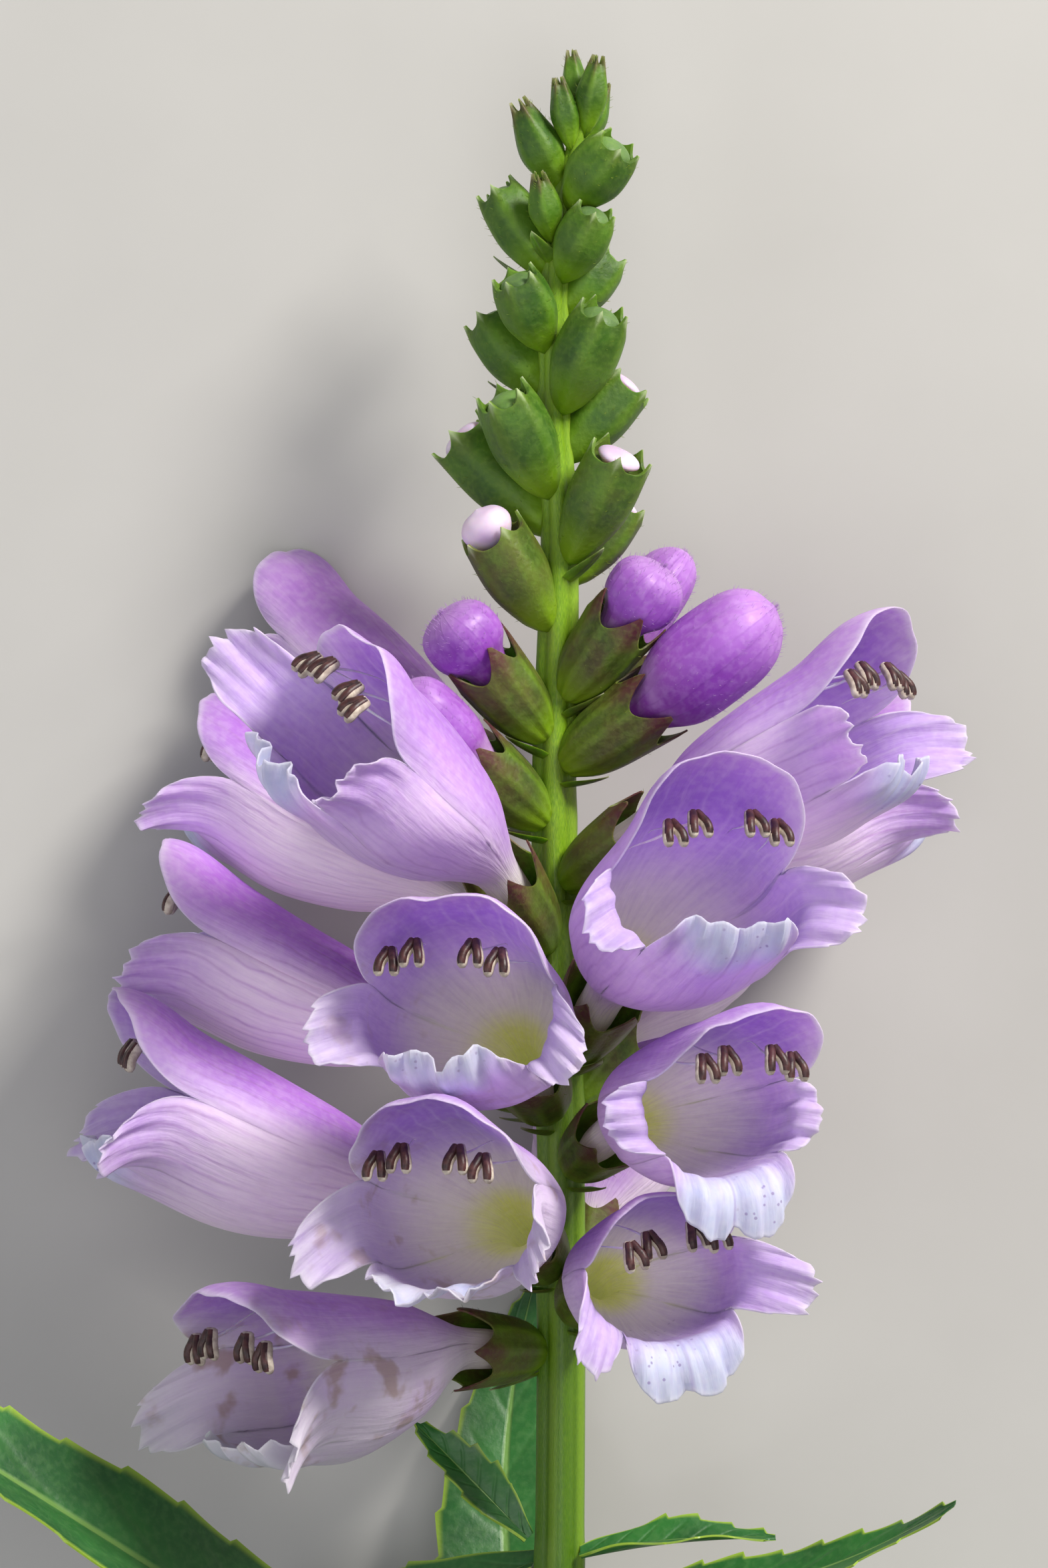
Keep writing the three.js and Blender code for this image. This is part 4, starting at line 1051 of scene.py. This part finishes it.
# height, rank, azimuth, elevation, length, width, how far its pale dome stands out, length of its bract
GREEN_BUDS = [
    (70.6, FRONT_LEFT, -66, 56, 8.2, 5, 3.2, 0), (74, BACK_RIGHT, 105, 54, 7, 4.2, 1.4, 0),
    (75.6, FRONT_RIGHT, 52, 58, 9, 4.9, 1.5, 4), (77.8, BACK_LEFT, -104, 46, 9.8, 5, 1.8, 0),
    (80.5, FRONT_LEFT, -50, 58, 8.4, 4.9, 0, 0), (83.2, BACK_RIGHT, 98, 50, 7.2, 4.4, 1.4, 4),
    (86.8, FRONT_RIGHT, 48, 60, 8.2, 4.8, 0, 0), (88, BACK_LEFT, -106, 52, 7.4, 4.5, 0, 5.6),
    (91.4, FRONT_LEFT, -44, 58, 6, 4.2, 0, 0), (93.8, BACK_RIGHT, 110, 50, 6, 3.8, 0, 5),
    (96.6, FRONT_RIGHT, 50, 56, 5.8, 3.9, 0, 0), (97, BACK_LEFT, -100, 58, 7.4, 4, 0, 5.4),
    (101, BACK_RIGHT, 160, 58, 5, 3.2, 0, 0), (99.5, FRONT_LEFT, -25, 64, 5, 2.6, 0, 3),
    (102, FRONT_RIGHT, 60, 46, 6, 4.5, 0, 0), (103.4, BACK_LEFT, -76, 62, 7, 3.4, 0, 0),
    (106.4, FRONT_LEFT, -50, 76, 5, 2.2, 0, 0), (106.4, BACK_RIGHT, 100, 70, 5, 2.2, 0, 0),
    (107.6, FRONT_RIGHT, 45, 76, 5.4, 2.4, 0, 0), (108.6, BACK_LEFT, -140, 80, 5, 2, 0, 0),
]


def add_green_bud(growth, stance, length, width, dome, age, mark, random):
    turn = ring_of(60)
    share = np.linspace(0, 1, 24)[:, None]
    tooth = (1 - np.abs(np.sin(turn * 2.5))) ** 1.7
    x = share * length * (1 + (-0.07 + 0.12 * tooth) * share ** 6)
    outline = curve(OPEN_OUTLINE if dome else TIGHT_OUTLINE if width < NARROW else BUD_OUTLINE, share)
    ribs = 0.02 * np.cos(turn * 5) * smooth(0.1, 0.6, share)
    radius = outline * width / 2 * (1 + ribs + 0.02 * np.sin(turn * 3 + length + 2 * share))
    outer = stance.ring(x, radius, turn)
    inward = radius[-1] - 0.25
    inside = ((x[-1] - 0.05, inward), (x[-1] * 0.94, inward * 0.97), (length * 0.84, inward * 0.8))
    rings = np.concatenate([outer, np.stack([stance.ring(reach, wide, turn) for reach, wide in inside])])
    tips = np.concatenate([share * (0.78 + 0.22 * tooth), np.full((len(inside), len(turn)), 0.8)])
    growth.loft(settle(rings, 0.1), *stance.ends(-0.8, length * 0.78), mark=mark,
                green=facts_over(rings, tips, age, np.cos(turn * 5) * 0.5 + 0.5))
    if not dome and width >= NARROW:
        rise = np.linspace(0.02, math.pi / 2 - 0.05, 12)[:, None]
        fold = 1 - 0.07 * np.exp(-(np.sin((turn - width * 3) / 2) / 0.12) ** 2)
        wide = 0.37 * width * np.cos(rise) ** 0.8 * fold
        growth.loft(stance.ring(length * (0.8 + 0.2 * np.sin(rise)), wide, turn),
                    *stance.ends(length * 0.8, length), green=(0.9, 0, 0), mark=(0, 0.5, 0))
    add_hairs(growth, outer[3:], wall_normals(outer)[3:], stance.out, GREEN_BUD_HAIRS, random,
              green=(0.5, 0.1, 0), mark=(0, 0, 0))


def pale_dome(number, stance, length, width, dome):
    rim = length * 0.86
    low = length * 0.7 + 0.7
    radius = width * (0.3 + 0.03 * dome)
    outline = [[low, 0.1], [rim + 0.35, width * 0.26], [rim + dome * 0.5, radius],
               [rim + dome * 0.85, radius * 0.7], [rim + dome, 0.02]]
    x = low + (rim + dome - low) * np.sin(np.linspace(0.02, math.pi / 2 - 0.02, 22))[:, None]
    turn = ring_of(32)
    wide = curve(outline, x) * (1 + 0.03 * np.sin(turn * 3 + number))
    growth = Growth()
    growth.loft(stance.ring(x, wide, turn), *stance.ends(low, rim + dome))
    growth.piece(f"pale_dome_{number}", "pale_bud", f"bud_pale_{number}", pale_petal)


buds = Growth()
domes = 0
for height, rank, azimuth, elevation, length, width, dome, bract in GREEN_BUDS:
    stance = Stance(height, rank, azimuth, elevation)
    age = 0.12 + 0.5 * smooth(80, 68, height) if height < 80 else 0.12
    mark = (0.8, 0.2, 0) if width < NARROW else (0.15, 0.8, 0)
    add_green_bud(buds, stance, length, width, dome, age, mark, random)
    if dome:
        domes += 1
        pale_dome(domes, stance, length, width, dome)
    if bract:
        add_bract(buds, height, rank, azimuth, elevation, bract, age=0.3)
buds.piece("green_buds", "stem", "stem", green)

# %% [markdown]
# ## Leaves
# The leaves are long lances with sharp forward teeth, folded a little along the rib. Their teeth are cut into
# the outline, not painted, because they show against the light. The rib and side veins lie slightly sunk, and
# each blade is a thin closed wall, so that it throws a true shadow on the table.

# %% Leaves
LEAF_OUTLINE = [[0, 0.3], [0.12, 0.55], [0.4, 1], [0.7, 0.72], [0.9, 0.32], [1, 0.06]]
LEAF_HALF = 0.2
THINNEST = 0.07
ROWS_PER_TOOTH = 12
COLUMNS_ACROSS = 17
# place, then length, width, teeth, droop, fold in degrees, sweep to one side, distance from the stem
LEAVES = {
    "upper_left": ((0.9, FRONT_LEFT, -96, 45, 0, -50), 11.9, 4.4, 6, 0, 30, 0, 2.15),
    "upper_right": ((1, FRONT_RIGHT, 80, 12, 0, 20), 14.5, 4.2, 6, 0.12, 30, 0, 0.8),
    "middle_left": ((0.4, BACK_LEFT, -108, -20, 0, -35), 36, 8.6, 9, 0.05, 20, 0, 1.1),
    "middle_right": ((-1.2, BACK_RIGHT, 84, -12, 0, 30), 27, 5.8, 9, -0.55, 20, 0, 1.3),
    "behind": ((-14, BACK_LEFT, -148, 60, 0, -32), 34, 10.6, 9, 0, 8, -0.28, 2.6),
    "lower_left": ((-19.6, FRONT_LEFT, -62, 34, 0, -40), 80, 13, 15, 0.03, 18, 0, 2.2),
    "lower_right": ((-19, BACK_RIGHT, 104, 18.5, 0, 30), 50, 10, 10, 0.1, 18, 0, 0.9),
}


def leaf_finish():
    finish = Finish("leaf", Roughness=0.35, Subsurface_Weight=0.15, Subsurface_Scale=0.0008,
                    Subsurface_Radius=(0.5, 1.0, 0.3), Specular_IOR_Level=0.5, Coat_Weight=0.08,
                    Coat_Roughness=0.3)
    across, share, _ = finish.fact("leaf")
    cloud, fine = finish.noise(120, 3), finish.noise(1700, 3)
    off = across.size()
    side_veins = ((share * 46 - off * 7 + cloud * 2).wave() * 0.5 + 0.5) ** 10 * (1 - off.rise(0.6, 0.95))
    rib = 1 - off.rise(0.02, 0.09)
    finish.colour = finish.mix(cloud.rise(0.3, 0.7), "#184d20", "#2c6f2c")
    finish.lay(side_veins * 0.12, "#5a8a48")
    finish.lay(rib * 0.7, "#7fa752")
    finish.lay(fine.rise(0.4, 0.7) * 0.14, "#6f9a5a")
    # Yellow-green margin: partly the edge's own paler green, partly a painted glow of light through the thin
    # edge.
    finish.lay(off.rise(0.9, 1.0) * 0.8, "#9cb93a")
    height = fine * 0.4 - side_veins * 0.45 - rib * 0.6 + cloud * 0.4
    finish.complete(0.3 + 0.2 * cloud + 0.1 * fine, height, 0.12)
    return finish


def leaf_blade(name, place, length, width, teeth, droop, fold, sweep, start):
    stance = Stance(*place)
    share = np.linspace(0, 1, teeth * ROWS_PER_TOOTH + 1)[:, None]
    saw = (share * teeth + 0.5 - 0.6 * teeth / length) % 1
    tooth = 0.55 * (saw ** 1.6) * smooth(1.6 / teeth, 2.2 / teeth, share) * (share < 1 - 0.3 / teeth)
    half = curve(LEAF_OUTLINE, share) * width / 2
    place_across = np.linspace(-1, 1, COLUMNS_ACROSS)
    across = place_across * (half + tooth * np.abs(place_across) ** 10)
    bend = length * share ** 2
    ripple = 0.22 * place_across ** 4 * np.sin(share * teeth * 2.1 + np.sign(place_across))
    rib = -0.16 * np.exp(-(across / 0.35) ** 2) * (1 - share)
    turn = math.radians(fold)
    outward = start - 0.25 * (1 - share) ** 8 + share * length - 0.1 * bend * abs(droop)
    folded = (np.sqrt(across ** 2 + 0.09) - 0.3) * math.sin(turn)
    middle = stance.at(outward, across * math.cos(turn) + sweep * bend, folded - droop * bend + ripple + rib)
    normal = unit(np.cross(np.gradient(middle, axis=0), np.gradient(middle, axis=1)))
    thick = LEAF_HALF * (1 - 0.55 * np.abs(place_across) ** 3)[None, :, None] * (1.15 - share[..., None])
    thick = np.maximum(thick, THINNEST)
    middle = settle(middle, LEAF_HALF)
    rings = np.concatenate([middle + normal * thick, (middle - normal * thick)[:, ::-1]], 1)
    facts = facts_over(middle, place_across, share, 0.0)
    growth = Growth()
    growth.loft(rings, middle[0, COLUMNS_ACROSS // 2], middle[-1, COLUMNS_ACROSS // 2],
                leaf=np.concatenate([facts, facts[:, ::-1]], 1))
    growth.piece("blade_" + name, "leaf", "leaf_" + name, leaf_green)


leaf_green = leaf_finish()
for name, form in LEAVES.items():
    leaf_blade(name, *form)
